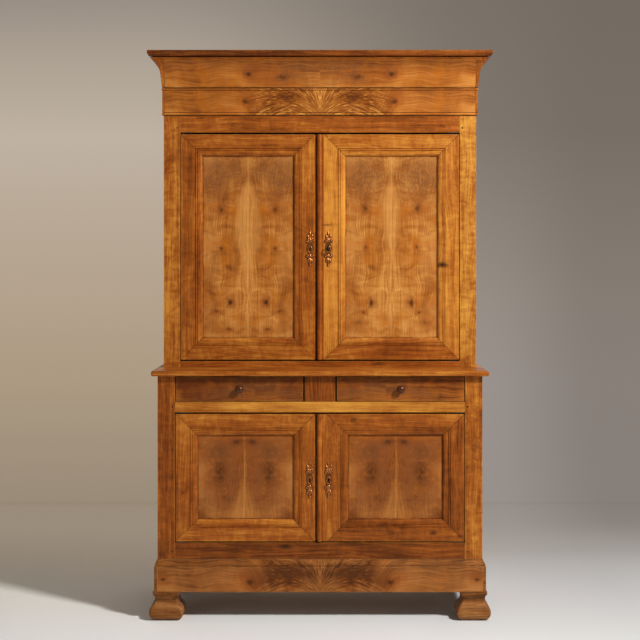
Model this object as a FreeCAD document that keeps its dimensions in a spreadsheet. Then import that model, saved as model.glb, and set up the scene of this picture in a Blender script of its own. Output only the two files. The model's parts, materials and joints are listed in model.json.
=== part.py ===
import FreeCAD, Part
import math
import os
import Sketcher

# Two-body cabinet in fruitwood: two drawers and two doors below, two tall doors above.
# X runs to the right, the front faces minus Y, Z runs up. The origin is on the floor,
# in the middle of the plan.

# Driving dimensions in millimetres. Each is a cell of the sheet, under the same alias.
SIZES = {
    # Carcass of the lower body
    "base_width": 1300.0,
    "base_depth": 560.0,
    "base_post_width": 70.0,
    "post_depth": 45.0,
    "rear_post_depth": 60.0,
    "side_thickness": 24.0,
    "rail_thickness": 26.0,
    "base_bottom_rail_height": 195.0,
    "lower_opening_height": 521.0,
    "middle_rail_height": 42.0,
    "drawer_opening_height": 104.0,
    "side_top_rail_height": 90.0,
    "divider_width": 122.0,
    "divider_thickness": 30.0,
    # Carcass of the upper body
    "upper_side_setback": 5.0,
    "upper_front_setback": 160.0,
    "upper_post_width": 68.0,
    "upper_bottom_rail_height": 26.0,
    "upper_opening_height": 944.0,
    "upper_top_rail_height": 70.0,
    # Boards inside and behind
    "board_thickness": 20.0,
    "back_thickness": 12.0,
    "side_panel_thickness": 14.0,
    "side_panel_recess": 8.0,
    "base_shelf_height": 245.0,
    "shelf_setback": 60.0,
    "shelf_side_gap": 3.0,
    "cleat_height": 24.0,
    "cleat_width": 20.0,
    # Feet: square cushions turned down to a neck
    "foot_height": 112.0,
    "foot_projection": 31.0,
    "foot_half_bulge": 67.5,
    "foot_half_neck": 46.5,
    "foot_half_top": 54.5,
    "foot_half_sole": 51.0,
    "foot_half_shoulder": 58.0,
    "foot_bulge_height": 30.0,
    "foot_shoulder_height": 58.0,
    "foot_neck_height": 80.0,
    "foot_fillet_height": 10.0,
    "foot_sole_radius": 36.0,
    "foot_crown_radius": 40.0,
    "foot_cove_radius": 24.0,
    "foot_flare_radius": 30.0,
    # Plinth boards
    "plinth_height": 130.0,
    "plinth_thickness": 13.0,
    "plinth_face_height": 103.0,
    "plinth_quirk": 1.5,
    "plinth_ovolo_height": 12.0,
    "plinth_ovolo_width": 4.5,
    "plinth_ovolo_radius": 11.0,
    "plinth_cove_radius": 14.0,
    "plinth_lip": 1.5,
    # Waist board between the two bodies
    "waist_thickness": 21.0,
    "waist_overhang": 23.0,
    "waist_front_overhang": 28.0,
    "waist_arris": 6.0,
    # Frieze, cove and top of the cornice
    "cornice_wall": 22.0,
    "cornice_joint_inset": 3.0,
    "frieze_height": 112.0,
    "frieze_projection": 6.0,
    "frieze_bead_radius": 5.5,
    "frieze_bead_reach": 8.0,
    "frieze_quirk": 2.0,
    "fillet_bead_radius": 4.5,
    "fillet_bead_reach": 9.0,
    "cove_height": 125.0,
    "cove_foot_projection": 7.0,
    "cove_waist_projection": 12.0,
    "cove_waist_height": 49.0,
    "cove_tip_projection": 40.0,
    "cove_tip_height": 110.0,
    "cove_radius": 84.0,
    "cove_bead_radius": 4.5,
    "cove_bead_gap": 5.0,
    "top_thickness": 24.0,
    "top_projection": 62.0,
    "top_ovolo_width": 9.0,
    "top_ovolo_height": 15.0,
    "top_ovolo_radius": 18.0,
    "top_arris": 4.0,
    # Doors
    "door_thickness": 26.0,
    "upper_member_width": 90.0,
    "lower_member_width": 87.5,
    "door_side_gap": 3.0,
    "door_meeting_gap": 8.0,
    "lip_clearance": 1.0,
    "lip_thickness": 8.0,
    "upper_door_bottom_gap": 6.5,
    "upper_door_top_gap": 8.0,
    "lower_door_bottom_gap": 5.0,
    "lower_door_top_gap": 7.0,
    "panel_recess": 12.0,
    "panel_tongue": 7.0,
    "panel_thickness": 12.0,
    "panel_bevel": 30.0,
    "panel_shoulder": 10.0,
    "groove_depth": 8.0,
    "groove_clearance": 0.3,
    # Run moulding inside each door member
    "moulding_width": 33.0,
    "moulding_quirk": 3.0,
    "moulding_bead_radius": 3.5,
    "moulding_cove_radius": 16.0,
    "moulding_lip_width": 7.0,
    "moulding_lip_depth": 8.0,
    "moulding_lip_radius": 8.0,
    # Bead strips on the edges of the right-hand doors
    "strip_offset": 12.0,
    "upper_strip_width": 27.7,
    "lower_strip_width": 38.6,
    "strip_bead_width": 20.0,
    "strip_bead_rise": 7.0,
    "strip_bead_radius": 10.8,
    "strip_quirk": 1.6,
    # Pivot hinges in the gaps above and below each door
    "pivot_inset": 12.0,
    "pivot_setback": 7.0,
    "pivot_plate_thickness": 1.8,
    "pivot_plate_length": 46.0,
    "pivot_plate_width": 14.0,
    "pivot_plate_end": 11.0,
    "pivot_pin_radius": 3.5,
    "pivot_fit": 0.05,
    "pivot_end_gap": 0.3,
    # Drawers
    "drawer_bottom_gap": 2.0,
    "drawer_top_gap": 5.0,
    "drawer_side_gap": 3.0,
    "drawer_divider_gap": 6.5,
    "drawer_front_thickness": 22.0,
    "drawer_rear_room": 90.0,
    "drawer_board": 12.0,
    "drawer_side_height": 82.0,
    "drawer_bottom_thickness": 8.0,
    "drawer_bottom_lift": 8.0,
    "running_gap": 0.3,
    "runner_width": 32.0,
    "guide_height": 20.0,
    "guide_gap": 1.0,
    "guide_width": 20.0,
    "centre_runner_width": 200.0,
    # Turned knobs of the drawers
    "knob_radius": 16.0,
    "knob_reach": 28.0,
    "knob_foot_radius": 9.0,
    "knob_foot_height": 4.0,
    "knob_neck_radius": 6.5,
    "knob_neck_height": 10.0,
    "knob_rim_height": 17.0,
    "knob_cove_radius": 9.0,
    "knob_flare_radius": 11.0,
    "knob_tip_radius": 3.0,
    "knob_crown_radius": 15.0,
    "knob_spigot_radius": 5.0,
    "knob_spigot_length": 16.0,
    "spigot_fit": 0.1,
    # Escutcheon plates
    "plate_half_width": 16.5,
    "plate_half_height": 73.5,
    "plate_thickness": 2.0,
    "plate_drop": 2.0,
    "keyhole_radius": 3.8,
    "keyhole_slot_width": 4.0,
    "keyhole_slot_length": 13.0,
    "false_keyhole_depth": 9.0,
    "left_plate_backset": 21.0,
    "right_plate_backset": 47.0,
    "upper_keyhole_height": 459.0,
    "lower_keyhole_height": 248.0,
    # Rim locks on the right-hand doors, bolts, and the key
    "lock_width": 80.0,
    "lock_edge_inset": 2.0,
    "lock_below": 40.0,
    "lock_above": 50.0,
    "lock_depth": 16.0,
    "lock_wall": 3.0,
    "chamber_radius": 15.0,
    "lock_bolt_height": 14.0,
    "lock_bolt_rise": 20.0,
    "lock_bolt_thickness": 6.0,
    "lock_bolt_length": 46.0,
    "lock_bolt_nose": 0.5,
    "lock_bolt_fit": 0.15,
    "key_shank_radius": 3.2,
    "key_hole_clearance": 0.3,
    "key_bit_height": 12.0,
    "key_bit_width": 3.0,
    "key_bit_depth": 8.0,
    "key_collar_radius": 7.0,
    "key_collar_height": 5.0,
    "key_collar_standoff": 3.0,
    "key_bow_radius": 9.4,
    "key_bow_section": 3.1,
    # Slide bolts inside the left-hand doors
    "door_bolt_width": 10.0,
    "door_bolt_thickness": 5.0,
    "door_bolt_length": 96.0,
    "door_bolt_edge_inset": 22.0,
    "door_bolt_standoff": 0.3,
    "door_bolt_top_inset": 3.0,
    "strap_width": 9.0,
    "strap_wall": 2.0,
    "strap_ear": 7.0,
    "strap_fit": 0.15,
    "strap_top_inset": 8.0,
    "strap_spacing": 44.0,
    "bolt_grip_radius": 3.5,
    "bolt_grip_length": 9.0,
    # Draw-bore pegs in the posts
    "peg_radius": 3.5,
    "peg_depth": 16.0,
    "peg_proud": 0.4,
    "peg_inset": 11.0,
    "peg_lower_height": 160.0,
    "peg_middle_height": 22.0,
    "peg_upper_height": 19.0,
    # One overrun for every cut that passes through
    "overrun": 5.0,
}

# Heights of the three upper shelves, as shares of the upper opening
UPPER_SHELF_SHARES = (0.26, 0.51, 0.755)
# Number of boards across each back
BASE_BACK_BOARDS = 4
UPPER_BACK_BOARDS = 5
# Straps that hold each slide bolt
BOLT_STRAPS = 2

# Half outline of an escutcheon plate from its lower tip to its upper tip: across and up
# as shares of the half width and half height, then the radius share and the turn
PLATE_EDGE_SHARES = (
    (0.00, -1.000, 0.0, "line"),
    (0.19, -0.962, 0.20, "left"),
    (0.13, -0.915, 0.25, "left"),
    (0.58, -0.660, 5.00, "left"),
    (0.97, -0.480, 3.00, "right"),
    (0.90, -0.405, 0.23, "left"),
    (0.50, -0.420, 0.28, "left"),
    (0.40, -0.330, 0.60, "right"),
    (0.72, -0.190, 1.40, "right"),
    (0.78, 0.060, 3.00, "left"),
    (0.46, 0.250, 1.60, "left"),
    (0.60, 0.330, 0.60, "right"),
    (0.98, 0.345, 0.26, "left"),
    (0.88, 0.430, 0.24, "left"),
    (0.52, 0.440, 0.40, "right"),
    (0.84, 0.560, 1.20, "right"),
    (0.52, 0.700, 0.80, "left"),
    (0.60, 0.760, 0.50, "right"),
    (0.20, 0.900, 1.60, "left"),
    (0.22, 0.950, 0.30, "right"),
    (0.00, 1.000, 0.30, "left"),
)


class Size:
    """A length that keeps both its number and the expression that drives it."""

    def __init__(self, number, text):
        self.number = float(number)
        self.text = text

    @staticmethod
    def of(value):
        if isinstance(value, Size):
            return value
        return Size(value, repr(value))

    def joined(self, other, sign, number):
        return Size(number, "(" + self.text + " " + sign + " " + Size.of(other).text + ")")

    def __add__(self, other):
        return self.joined(other, "+", self.number + Size.of(other).number)

    def __sub__(self, other):
        return self.joined(other, "-", self.number - Size.of(other).number)

    def __mul__(self, other):
        return self.joined(other, "*", self.number * Size.of(other).number)

    def __truediv__(self, other):
        return self.joined(other, "/", self.number / Size.of(other).number)

    def __rmul__(self, other):
        return Size.of(other) * self

    def __neg__(self):
        return Size(-self.number, "(-" + self.text + ")")


class Sheet:
    """The driving dimensions by name, each tied to its cell."""

    def __init__(self, document, values):
        cells = document.addObject("Spreadsheet::Sheet", "Sizes")
        for row, (name, value) in enumerate(values.items(), start=1):
            cells.set("A" + str(row), name)
            cells.set("B" + str(row), str(value))
            cells.setAlias("B" + str(row), name)
            setattr(self, name, Size(value, "Sizes." + name))


doc = FreeCAD.newDocument("cabinet")
s = Sheet(doc, SIZES)
ZERO = Size(0, "0")
PARTS = []


# Sketch and solid helpers

def is_arc(point):
    return len(point) == 4 and point[3] != "line"


def centre_of_arc(start, end, radius, turn):
    """Centre of the short arc from start to end that turns left or right."""
    chord_u = end[0] - start[0]
    chord_v = end[1] - start[1]
    chord = math.hypot(chord_u, chord_v)
    rise = math.sqrt(max(radius * radius - chord * chord / 4, 0))
    side = 1 if turn == "left" else -1
    middle_u = (start[0] + end[0]) / 2
    middle_v = (start[1] + end[1]) / 2
    return (middle_u - side * rise * chord_v / chord, middle_v + side * rise * chord_u / chord)


def arc_geometry(start, end, radius, turn):
    """Arc of a circle, which always runs anticlockwise, and whether it is walked backwards."""
    centre = centre_of_arc(start, end, radius, turn)
    first, last = (start, end) if turn == "left" else (end, start)
    begin = math.atan2(first[1] - centre[1], first[0] - centre[0])
    finish = math.atan2(last[1] - centre[1], last[0] - centre[0])
    circle = Part.Circle(FreeCAD.Vector(centre[0], centre[1], 0), FreeCAD.Vector(0, 0, 1), radius)
    return Part.ArcOfCircle(circle, begin, finish), turn == "right"


class Outline:
    """Geometry and constraints of a sketch, gathered and then added in one go."""

    def __init__(self):
        self.geometry = []
        self.constraints = []
        self.texts = {}

    def tie(self, constraint, size):
        """Add a constraint whose value follows a size."""
        self.texts[len(self.constraints)] = size.text
        self.constraints.append(constraint)

    def hold(self, kind, element, end, size):
        """Tie one coordinate of a point to its size."""
        if size.text == "0":
            axis = -2 if kind == "DistanceX" else -1
            self.constraints.append(Sketcher.Constraint("PointOnObject", element, end, axis))
        else:
            self.tie(Sketcher.Constraint(kind, -1, 1, element, end, size.number), size)

    def add_loop(self, path):
        """Closed outline: each point is (u, v) for a line to it, or (u, v, radius, turn)."""
        points = [(Size.of(p[0]), Size.of(p[1])) for p in path]
        first_element = len(self.geometry)
        ends = []
        for number, point in enumerate(path):
            start = (points[number - 1][0].number, points[number - 1][1].number)
            end = (points[number][0].number, points[number][1].number)
            backwards = False
            element = first_element + number
            if is_arc(point):
                geometry, backwards = arc_geometry(start, end, point[2].number, point[3])
                self.tie(Sketcher.Constraint("Radius", element, point[2].number), point[2])
            else:
                geometry = Part.LineSegment(FreeCAD.Vector(*start, 0), FreeCAD.Vector(*end, 0))
            self.geometry.append(geometry)
            ends.append((element, 2, 1) if backwards else (element, 1, 2))
        for number, (element, first, last) in enumerate(ends):
            after = ends[(number + 1) % len(ends)]
            self.constraints.append(
                Sketcher.Constraint("Coincident", element, last, after[0], after[1]))
            self.hold("DistanceX", element, last, points[number][0])
            self.hold("DistanceY", element, last, points[number][1])

    def add_circle(self, u, v, radius):
        """Full circle with its centre and radius tied to their sizes."""
        element = len(self.geometry)
        middle = FreeCAD.Vector(Size.of(u).number, Size.of(v).number, 0)
        self.geometry.append(Part.Circle(middle, FreeCAD.Vector(0, 0, 1), radius.number))
        self.hold("DistanceX", element, 3, Size.of(u))
        self.hold("DistanceY", element, 3, Size.of(v))
        self.tie(Sketcher.Constraint("Radius", element, radius.number), radius)

    def write(self, sketch):
        sketch.addGeometry(self.geometry, False)
        sketch.addConstraint(self.constraints)
        for number, text in self.texts.items():
            sketch.setExpression("Constraints[" + str(number) + "]", text)


def sketch_on(body, plane, loops=(), circles=()):
    """Sketch on one of the body's own origin planes."""
    sketch = body.newObject("Sketcher::SketchObject", body.Name + "_outline")
    support = [o for o in body.Origin.OriginFeatures if o.Role == plane][0]
    sketch.AttachmentSupport = (support, "")
    sketch.MapMode = "FlatFace"
    outline = Outline()
    for loop in loops:
        outline.add_loop(loop)
    for circle in circles:
        outline.add_circle(*circle)
    outline.write(sketch)
    return sketch


def place(item, x=ZERO, y=ZERO, z=ZERO, turn=None):
    """Put an object at x, y, z; turn is (axis, degrees)."""
    x, y, z = Size.of(x), Size.of(y), Size.of(z)
    rotation = FreeCAD.Rotation()
    if turn:
        rotation = FreeCAD.Rotation(FreeCAD.Vector(*turn[0]), turn[1])
    item.Placement = FreeCAD.Placement(FreeCAD.Vector(x.number, y.number, z.number), rotation)
    for axis, size in (("x", x), ("y", y), ("z", z)):
        if size.text != "0":
            item.setExpression("Placement.Base." + axis, size.text)
    return item


def pad(name, plane, loops, length, x=ZERO, y=ZERO, z=ZERO, turn=None, circles=()):
    """Body made by one pad: along plus Y from XZ, plus X from YZ, plus Z from XY."""
    body = doc.addObject("PartDesign::Body", name)
    feature = body.newObject("PartDesign::Pad", name + "_pad")
    sketch = sketch_on(body, plane, loops, circles)
    feature.Profile = sketch
    feature.Reversed = plane == "XZ_Plane"
    feature.setExpression("Length", length.text)
    body.Tip = feature
    return place(body, x, y, z, turn)


def pocket(body, plane, loops=(), circles=()):
    """Cut through a body, both ways from one of its origin planes."""
    feature = body.newObject("PartDesign::Pocket", body.Name + "_pocket")
    feature.Profile = sketch_on(body, plane, loops, circles)
    feature.Type = "ThroughAll"
    feature.Midplane = True
    body.Tip = feature
    return body


def box(name, x, y, z, length, width, height):
    """Board from its lowest corner and its three sizes."""
    item = doc.addObject("Part::Box", name)
    item.setExpression("Length", Size.of(length).text)
    item.setExpression("Width", Size.of(width).text)
    item.setExpression("Height", Size.of(height).text)
    return place(item, x, y, z)


def cylinder(name, x, y, z, radius, height, turn=None):
    """Round bar from the middle of its lower end."""
    item = doc.addObject("Part::Cylinder", name)
    item.setExpression("Radius", radius.text)
    item.setExpression("Height", Size.of(height).text)
    return place(item, x, y, z, turn)


def joined(kind, name, base, tool):
    """Part::Cut, Part::Fuse or Part::Common of two objects."""
    item = doc.addObject(kind, name)
    item.Base = base
    item.Tool = tool
    return item


def group(name, members):
    """Separate solids that share one node."""
    item = doc.addObject("Part::Compound", name)
    item.Links = members
    return item


def finish(item, label):
    """Give a sub-part its own label and list it for writing."""
    item.Label = label
    PARTS.append(item)
    return item


def flipped(turn):
    return {"left": "right", "right": "left"}[turn]


def with_arc(u, v, point, mirrored_once):
    """The point of an outline with the arc of its source kept."""
    if not is_arc(point):
        return (u, v)
    turn = flipped(point[3]) if mirrored_once else point[3]
    return (u, v, point[2], turn)


def both_sides(half_path):
    """Whole outline from its right half, walked from the bottom to the top."""
    path = list(half_path)
    for number in range(len(half_path) - 1, -1, -1):
        u, v = half_path[number][0], half_path[number][1]
        if Size.of(u).number == 0:
            continue
        if number == len(half_path) - 1:
            path.append((-u, v))
        else:
            path.append(with_arc(-u, v, half_path[number + 1], False))
    return path


def closing_arc(half_path, path):
    """The first line of an outline that starts on the axis is the mirrored last one."""
    first = with_arc(path[0][0], path[0][1], half_path[1], False)
    return [first] + path[1:]


def side_view(profile, half):
    """Outline seen from the front: the profile stands out from plus and minus half."""
    return both_sides([with_arc(half + p[0], p[1], p, False) for p in profile])


def end_view(profile, back):
    """Outline seen from the side: the profile stands out to the front of zero."""
    path = [with_arc(-p[0], p[1], p, True) for p in profile]
    return path + [(back, profile[-1][1]), (back, profile[0][1])]


def crossed(name, front_loop, side_loop, half_width, front, back, z):
    """Block with one outline from the front and one from the side."""
    margin = s.top_projection + s.overrun
    across = pad(name + "_front_view", "XZ_Plane", [front_loop], back - front + margin,
                 y=front - margin, z=z)
    along = pad(name + "_side_view", "YZ_Plane", [side_loop], (half_width + margin) * 2,
                x=-(half_width + margin), y=front, z=z)
    return joined("Part::Common", name, across, along)


# Places shared by the pieces

half_base = s.base_width / 2
half_upper = half_base - s.upper_side_setback
upper_depth = s.base_depth - s.upper_front_setback
whole_depth = s.base_depth + s.foot_projection
back_y = whole_depth / 2
base_y = back_y - s.base_depth
upper_y = base_y + s.upper_front_setback
inner_back_y = back_y - s.back_thickness

base_z = s.foot_height
lower_opening_z = base_z + s.base_bottom_rail_height
middle_rail_z = lower_opening_z + s.lower_opening_height
drawer_opening_z = middle_rail_z + s.middle_rail_height
waist_z = drawer_opening_z + s.drawer_opening_height
upper_z = waist_z + s.waist_thickness
upper_opening_z = upper_z + s.upper_bottom_rail_height
upper_top_rail_z = upper_opening_z + s.upper_opening_height
cornice_z = upper_top_rail_z + s.upper_top_rail_height
cove_z = cornice_z + s.frieze_height
top_z = cove_z + s.cove_height

base_inner = half_base - s.base_post_width
upper_inner = half_upper - s.upper_post_width
base_wall = half_base - s.side_thickness
upper_wall = half_upper - s.side_thickness


# Feet

def foot_profile():
    """Right half of a foot, from the sole to the top."""
    cap_z = s.foot_height - s.foot_fillet_height
    return [
        (s.foot_half_sole, ZERO),
        (s.foot_half_bulge, s.foot_bulge_height, s.foot_sole_radius, "left"),
        (s.foot_half_shoulder, s.foot_shoulder_height, s.foot_crown_radius, "left"),
        (s.foot_half_neck, s.foot_neck_height, s.foot_cove_radius, "right"),
        (s.foot_half_top, cap_z, s.foot_flare_radius, "right"),
        (s.foot_half_top, s.foot_height),
    ]


def foot(name, side, middle_y, flat_back):
    """Cushion foot with its outline on every face; a rear foot is flat behind."""
    middle_x = side * (half_base + s.foot_projection - s.foot_half_bulge)
    profile = foot_profile()
    across = pad(name + "_front_view", "XZ_Plane", [both_sides(profile)],
                 s.foot_half_bulge * 2, x=middle_x, y=middle_y - s.foot_half_bulge)
    side_loop = both_sides(profile)
    if flat_back:
        side_loop = [with_arc(-p[0], p[1], p, True) for p in profile]
        side_loop = side_loop + [(s.foot_half_top, s.foot_height), (s.foot_half_top, ZERO)]
    along = pad(name + "_side_view", "YZ_Plane", [side_loop], s.foot_half_bulge * 2,
                x=middle_x - s.foot_half_bulge, y=middle_y)
    return joined("Part::Common", name, across, along)


def make_feet():
    front_y = base_y - s.foot_projection + s.foot_half_bulge
    rear_y = back_y - s.foot_half_top
    members = []
    for key, y, flat in (("front_foot", front_y, False), ("rear_foot", rear_y, True)):
        members.append(foot(key + "_left", -1, y, flat))
        members.append(foot(key + "_right", 1, y, flat))
    finish(group("feet", members), "feet")


# Boards framed round the front and sides: plinth, frieze and cove

def plinth_profile():
    """Plain face under an ovolo and a small cove that dies into the posts."""
    ovolo_z = s.plinth_face_height + s.plinth_quirk
    return [
        (s.plinth_thickness, ZERO),
        (s.plinth_thickness, s.plinth_face_height),
        (s.plinth_thickness - s.plinth_quirk, ovolo_z),
        (s.plinth_thickness - s.plinth_quirk - s.plinth_ovolo_width,
         ovolo_z + s.plinth_ovolo_height, s.plinth_ovolo_radius, "left"),
        (s.plinth_lip, s.plinth_height, s.plinth_cove_radius, "right"),
    ]


def frieze_profile():
    """Bead at the foot, flat face, thin bead at the head."""
    bead = s.frieze_bead_radius
    thin = s.fillet_bead_radius
    bead_p = s.frieze_bead_reach - bead
    thin_p = s.fillet_bead_reach - thin
    head_z = s.frieze_height - thin * 2
    return [
        (bead_p, ZERO),
        (s.frieze_bead_reach, bead, bead, "left"),
        (bead_p, bead * 2, bead, "left"),
        (s.frieze_projection, bead * 2 + s.frieze_quirk),
        (s.frieze_projection, head_z - s.frieze_quirk),
        (thin_p, head_z),
        (s.fillet_bead_reach, head_z + thin, thin, "left"),
        (thin_p, s.frieze_height, thin, "left"),
    ]


def cove_profile():
    """Leaning face, long cove and a bead under the top."""
    bead = s.cove_bead_radius
    bead_z = s.cove_tip_height + s.cove_bead_gap
    return [
        (s.cove_foot_projection, ZERO),
        (s.cove_waist_projection, s.cove_waist_height),
        (s.cove_tip_projection, s.cove_tip_height, s.cove_radius, "right"),
        (s.cove_tip_projection, bead_z),
        (s.cove_tip_projection + bead, bead_z + bead, bead, "left"),
        (s.cove_tip_projection, bead_z + bead * 2, bead, "left"),
        (s.cove_tip_projection, s.cove_height),
    ]


def front_board(name, profile, half, front, inner, z):
    """Moulded board across the front, between the lips of the side boards."""
    loop = end_view(profile, inner)
    return pad(name + "_front", "YZ_Plane", [loop], half * 2, x=-half, y=front, z=z)


def side_board(name, side, profile, half, inner, joint, front, depth, z, height):
    """Moulded board along one side; its lip covers the end of the front board."""
    loop = [with_arc(half + p[0], p[1], p, False) for p in profile]
    loop = loop + [(half - inner, profile[-1][1]), (half - inner, profile[0][1])]
    if side < 0:
        loop = [with_arc(-p[0], p[1], p, True) for p in loop]
    margin = s.top_projection + s.overrun
    key = name + ("_left" if side < 0 else "_right")
    across = pad(key + "_front_view", "XZ_Plane", [loop], depth + margin,
                 y=front - margin, z=z)
    along = pad(key + "_side_view", "YZ_Plane", [end_view(profile, depth)],
                (half + margin) * 2, x=-(half + margin), y=front, z=z)
    board = joined("Part::Common", key + "_board", across, along)
    rebate_x = half - inner - s.overrun
    rebate_width = joint - rebate_x
    corner_x = rebate_x if side > 0 else -joint
    rebate = box(key + "_rebate", corner_x, front - margin, z - s.overrun,
                 rebate_width, margin + inner, height + s.overrun * 2)
    return joined("Part::Cut", key, board, rebate)


def make_plinth():
    profile = plinth_profile()
    front = pad("plinth_front", "YZ_Plane", [end_view(profile, ZERO)], s.base_width,
                x=-half_base, y=base_y, z=base_z)
    finish(front, "plinth_front")
    sides = []
    for side, key in ((-1, "left"), (1, "right")):
        loop = [with_arc(half_base + p[0], p[1], p, False) for p in profile]
        loop = loop + [(half_base, s.plinth_height), (half_base, ZERO)]
        if side < 0:
            loop = [with_arc(-p[0], p[1], p, True) for p in loop]
        margin = s.plinth_thickness + s.overrun
        across = pad("plinth_" + key + "_front_view", "XZ_Plane", [loop],
                     s.base_depth + margin, y=base_y - margin, z=base_z)
        along = pad("plinth_" + key + "_side_view", "YZ_Plane",
                    [end_view(profile, s.base_depth)], (half_base + margin) * 2,
                    x=-(half_base + margin), y=base_y, z=base_z)
        sides.append(joined("Part::Common", "plinth_" + key, across, along))
    finish(group("plinth_sides", sides), "plinth_sides")


def make_cornice_ring(label, profile, z, height):
    """Front board, two side boards and a plain rear board."""
    joint = half_upper - s.cornice_joint_inset
    inner = s.cornice_wall - s.frieze_projection
    members = [front_board(label, profile, joint, upper_y, inner, z)]
    for side in (-1, 1):
        members.append(side_board(label, side, profile, half_upper, inner, joint,
                                  upper_y, upper_depth, z, height))
    wall_x = half_upper - inner
    members.append(box(label + "_rear", -wall_x, back_y - s.cornice_wall, z,
                       wall_x * 2, s.cornice_wall, height))
    finish(group(label, members), label)


def edged_board(label, profile, half, front, z):
    """Flat board with the same moulded edge on its front and both ends."""
    back = back_y - front
    board = crossed(label, side_view(profile, half), end_view(profile, back),
                    half, front, back_y, z)
    finish(board, label)


def make_waist_board():
    arris = s.waist_arris
    profile = [
        (-arris, ZERO),
        (ZERO, arris, arris, "left"),
        (ZERO, s.waist_thickness - arris),
        (-arris, s.waist_thickness, arris, "left"),
    ]
    edged_board("waist_board", profile, half_base + s.waist_overhang,
                base_y - s.waist_front_overhang, waist_z)


def make_cornice_top():
    arris = s.top_arris
    profile = [
        (-s.top_ovolo_width, ZERO),
        (ZERO, s.top_ovolo_height, s.top_ovolo_radius, "left"),
        (ZERO, s.top_thickness - arris),
        (-arris, s.top_thickness, arris, "left"),
    ]
    edged_board("cornice_top", profile, half_upper + s.top_projection,
                upper_y - s.top_projection, top_z)


# Carcass: posts, rails, side frames and panels

def post_pair(label, half, width, front, z, height, peg_heights):
    """Two front posts, bored for their pegs; returns the pegs that fill the bores."""
    posts = []
    pegs = []
    for side, key in ((-1, "left"), (1, "right")):
        x = -half if side < 0 else half - width
        post = box(label + "_" + key, x, front, z, width, s.post_depth, height)
        peg_x = side * (half - width + s.peg_inset)
        for number, peg_z in enumerate(peg_heights):
            key_name = label + "_" + key + str(number)
            bore = cylinder(key_name + "_bore", peg_x, front, peg_z, s.peg_radius, s.peg_depth,
                            turn=((1, 0, 0), -90))
            post = joined("Part::Cut", key_name, post, bore)
            pegs.append(cylinder(key_name + "_peg", peg_x, front - s.peg_proud, peg_z,
                                 s.peg_radius, s.peg_depth + s.peg_proud,
                                 turn=((1, 0, 0), -90)))
        posts.append(post)
    finish(group(label, posts), label)
    return pegs


def side_frames(label, half, front, z, height, bottom_height):
    """Rear post and two side rails on each side."""
    members = []
    rail_y = front + s.post_depth
    rear_y = back_y - s.rear_post_depth
    for side, key in ((-1, "left"), (1, "right")):
        x = -half if side < 0 else half - s.side_thickness
        name = label + "_" + key
        members.append(box(name + "_post", x, rear_y, z,
                           s.side_thickness, s.rear_post_depth, height))
        members.append(box(name + "_bottom", x, rail_y, z,
                           s.side_thickness, rear_y - rail_y, bottom_height))
        members.append(box(name + "_top", x, rail_y, z + height - s.side_top_rail_height,
                           s.side_thickness, rear_y - rail_y, s.side_top_rail_height))
    finish(group(label, members), label)


def side_panels(label, half, front, z, height):
    """Plain panels set back between the side rails."""
    rail_y = front + s.post_depth
    rear_y = back_y - s.rear_post_depth
    members = []
    for side, key in ((-1, "left"), (1, "right")):
        outer = half - s.side_panel_recess
        x = -outer if side < 0 else outer - s.side_panel_thickness
        members.append(box(label + "_" + key, x, rail_y, z,
                           s.side_panel_thickness, rear_y - rail_y, height))
    finish(group(label, members), label)


def notched_board(label, inner, wall, front, z):
    """Level board that reaches the rail between the posts and the walls behind them."""
    board_y = front + s.rail_thickness
    notch = s.post_depth - s.rail_thickness
    depth = inner_back_y - board_y
    loop = both_sides([(inner, ZERO), (inner, notch), (wall, notch), (wall, depth)])
    board = pad(label, "XY_Plane", [loop], s.board_thickness, y=board_y, z=z)
    finish(board, label)


def back_boards(label, wall, z, height, count):
    """Upright boards side by side across the back."""
    width = wall * 2 / count
    members = []
    for number in range(count):
        members.append(box(label + str(number), width * number - wall, inner_back_y, z,
                           width, s.back_thickness, height))
    finish(group(label, members), label)


def make_base_carcass():
    height = waist_z - base_z
    pegs = post_pair("base_front_posts", half_base, s.base_post_width, base_y, base_z, height,
                     [base_z + s.peg_lower_height, middle_rail_z + s.peg_middle_height])
    side_frames("base_side_frames", half_base, base_y, base_z, height,
                s.base_bottom_rail_height)
    panel_height = height - s.base_bottom_rail_height - s.side_top_rail_height
    side_panels("base_side_panels", half_base, base_y, lower_opening_z, panel_height)
    finish(box("base_bottom_rail", -base_inner, base_y, base_z, base_inner * 2,
               s.rail_thickness, s.base_bottom_rail_height), "base_bottom_rail")
    finish(box("base_middle_rail", -base_inner, base_y, middle_rail_z, base_inner * 2,
               s.rail_thickness, s.middle_rail_height), "base_middle_rail")
    finish(box("drawer_divider", -(s.divider_width / 2), base_y, drawer_opening_z,
               s.divider_width, s.divider_thickness, s.drawer_opening_height), "drawer_divider")
    notched_board("base_bottom_board", base_inner, base_wall, base_y,
                  lower_opening_z - s.board_thickness)
    back_boards("base_back_boards", base_wall, base_z, height, BASE_BACK_BOARDS)
    return pegs


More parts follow.
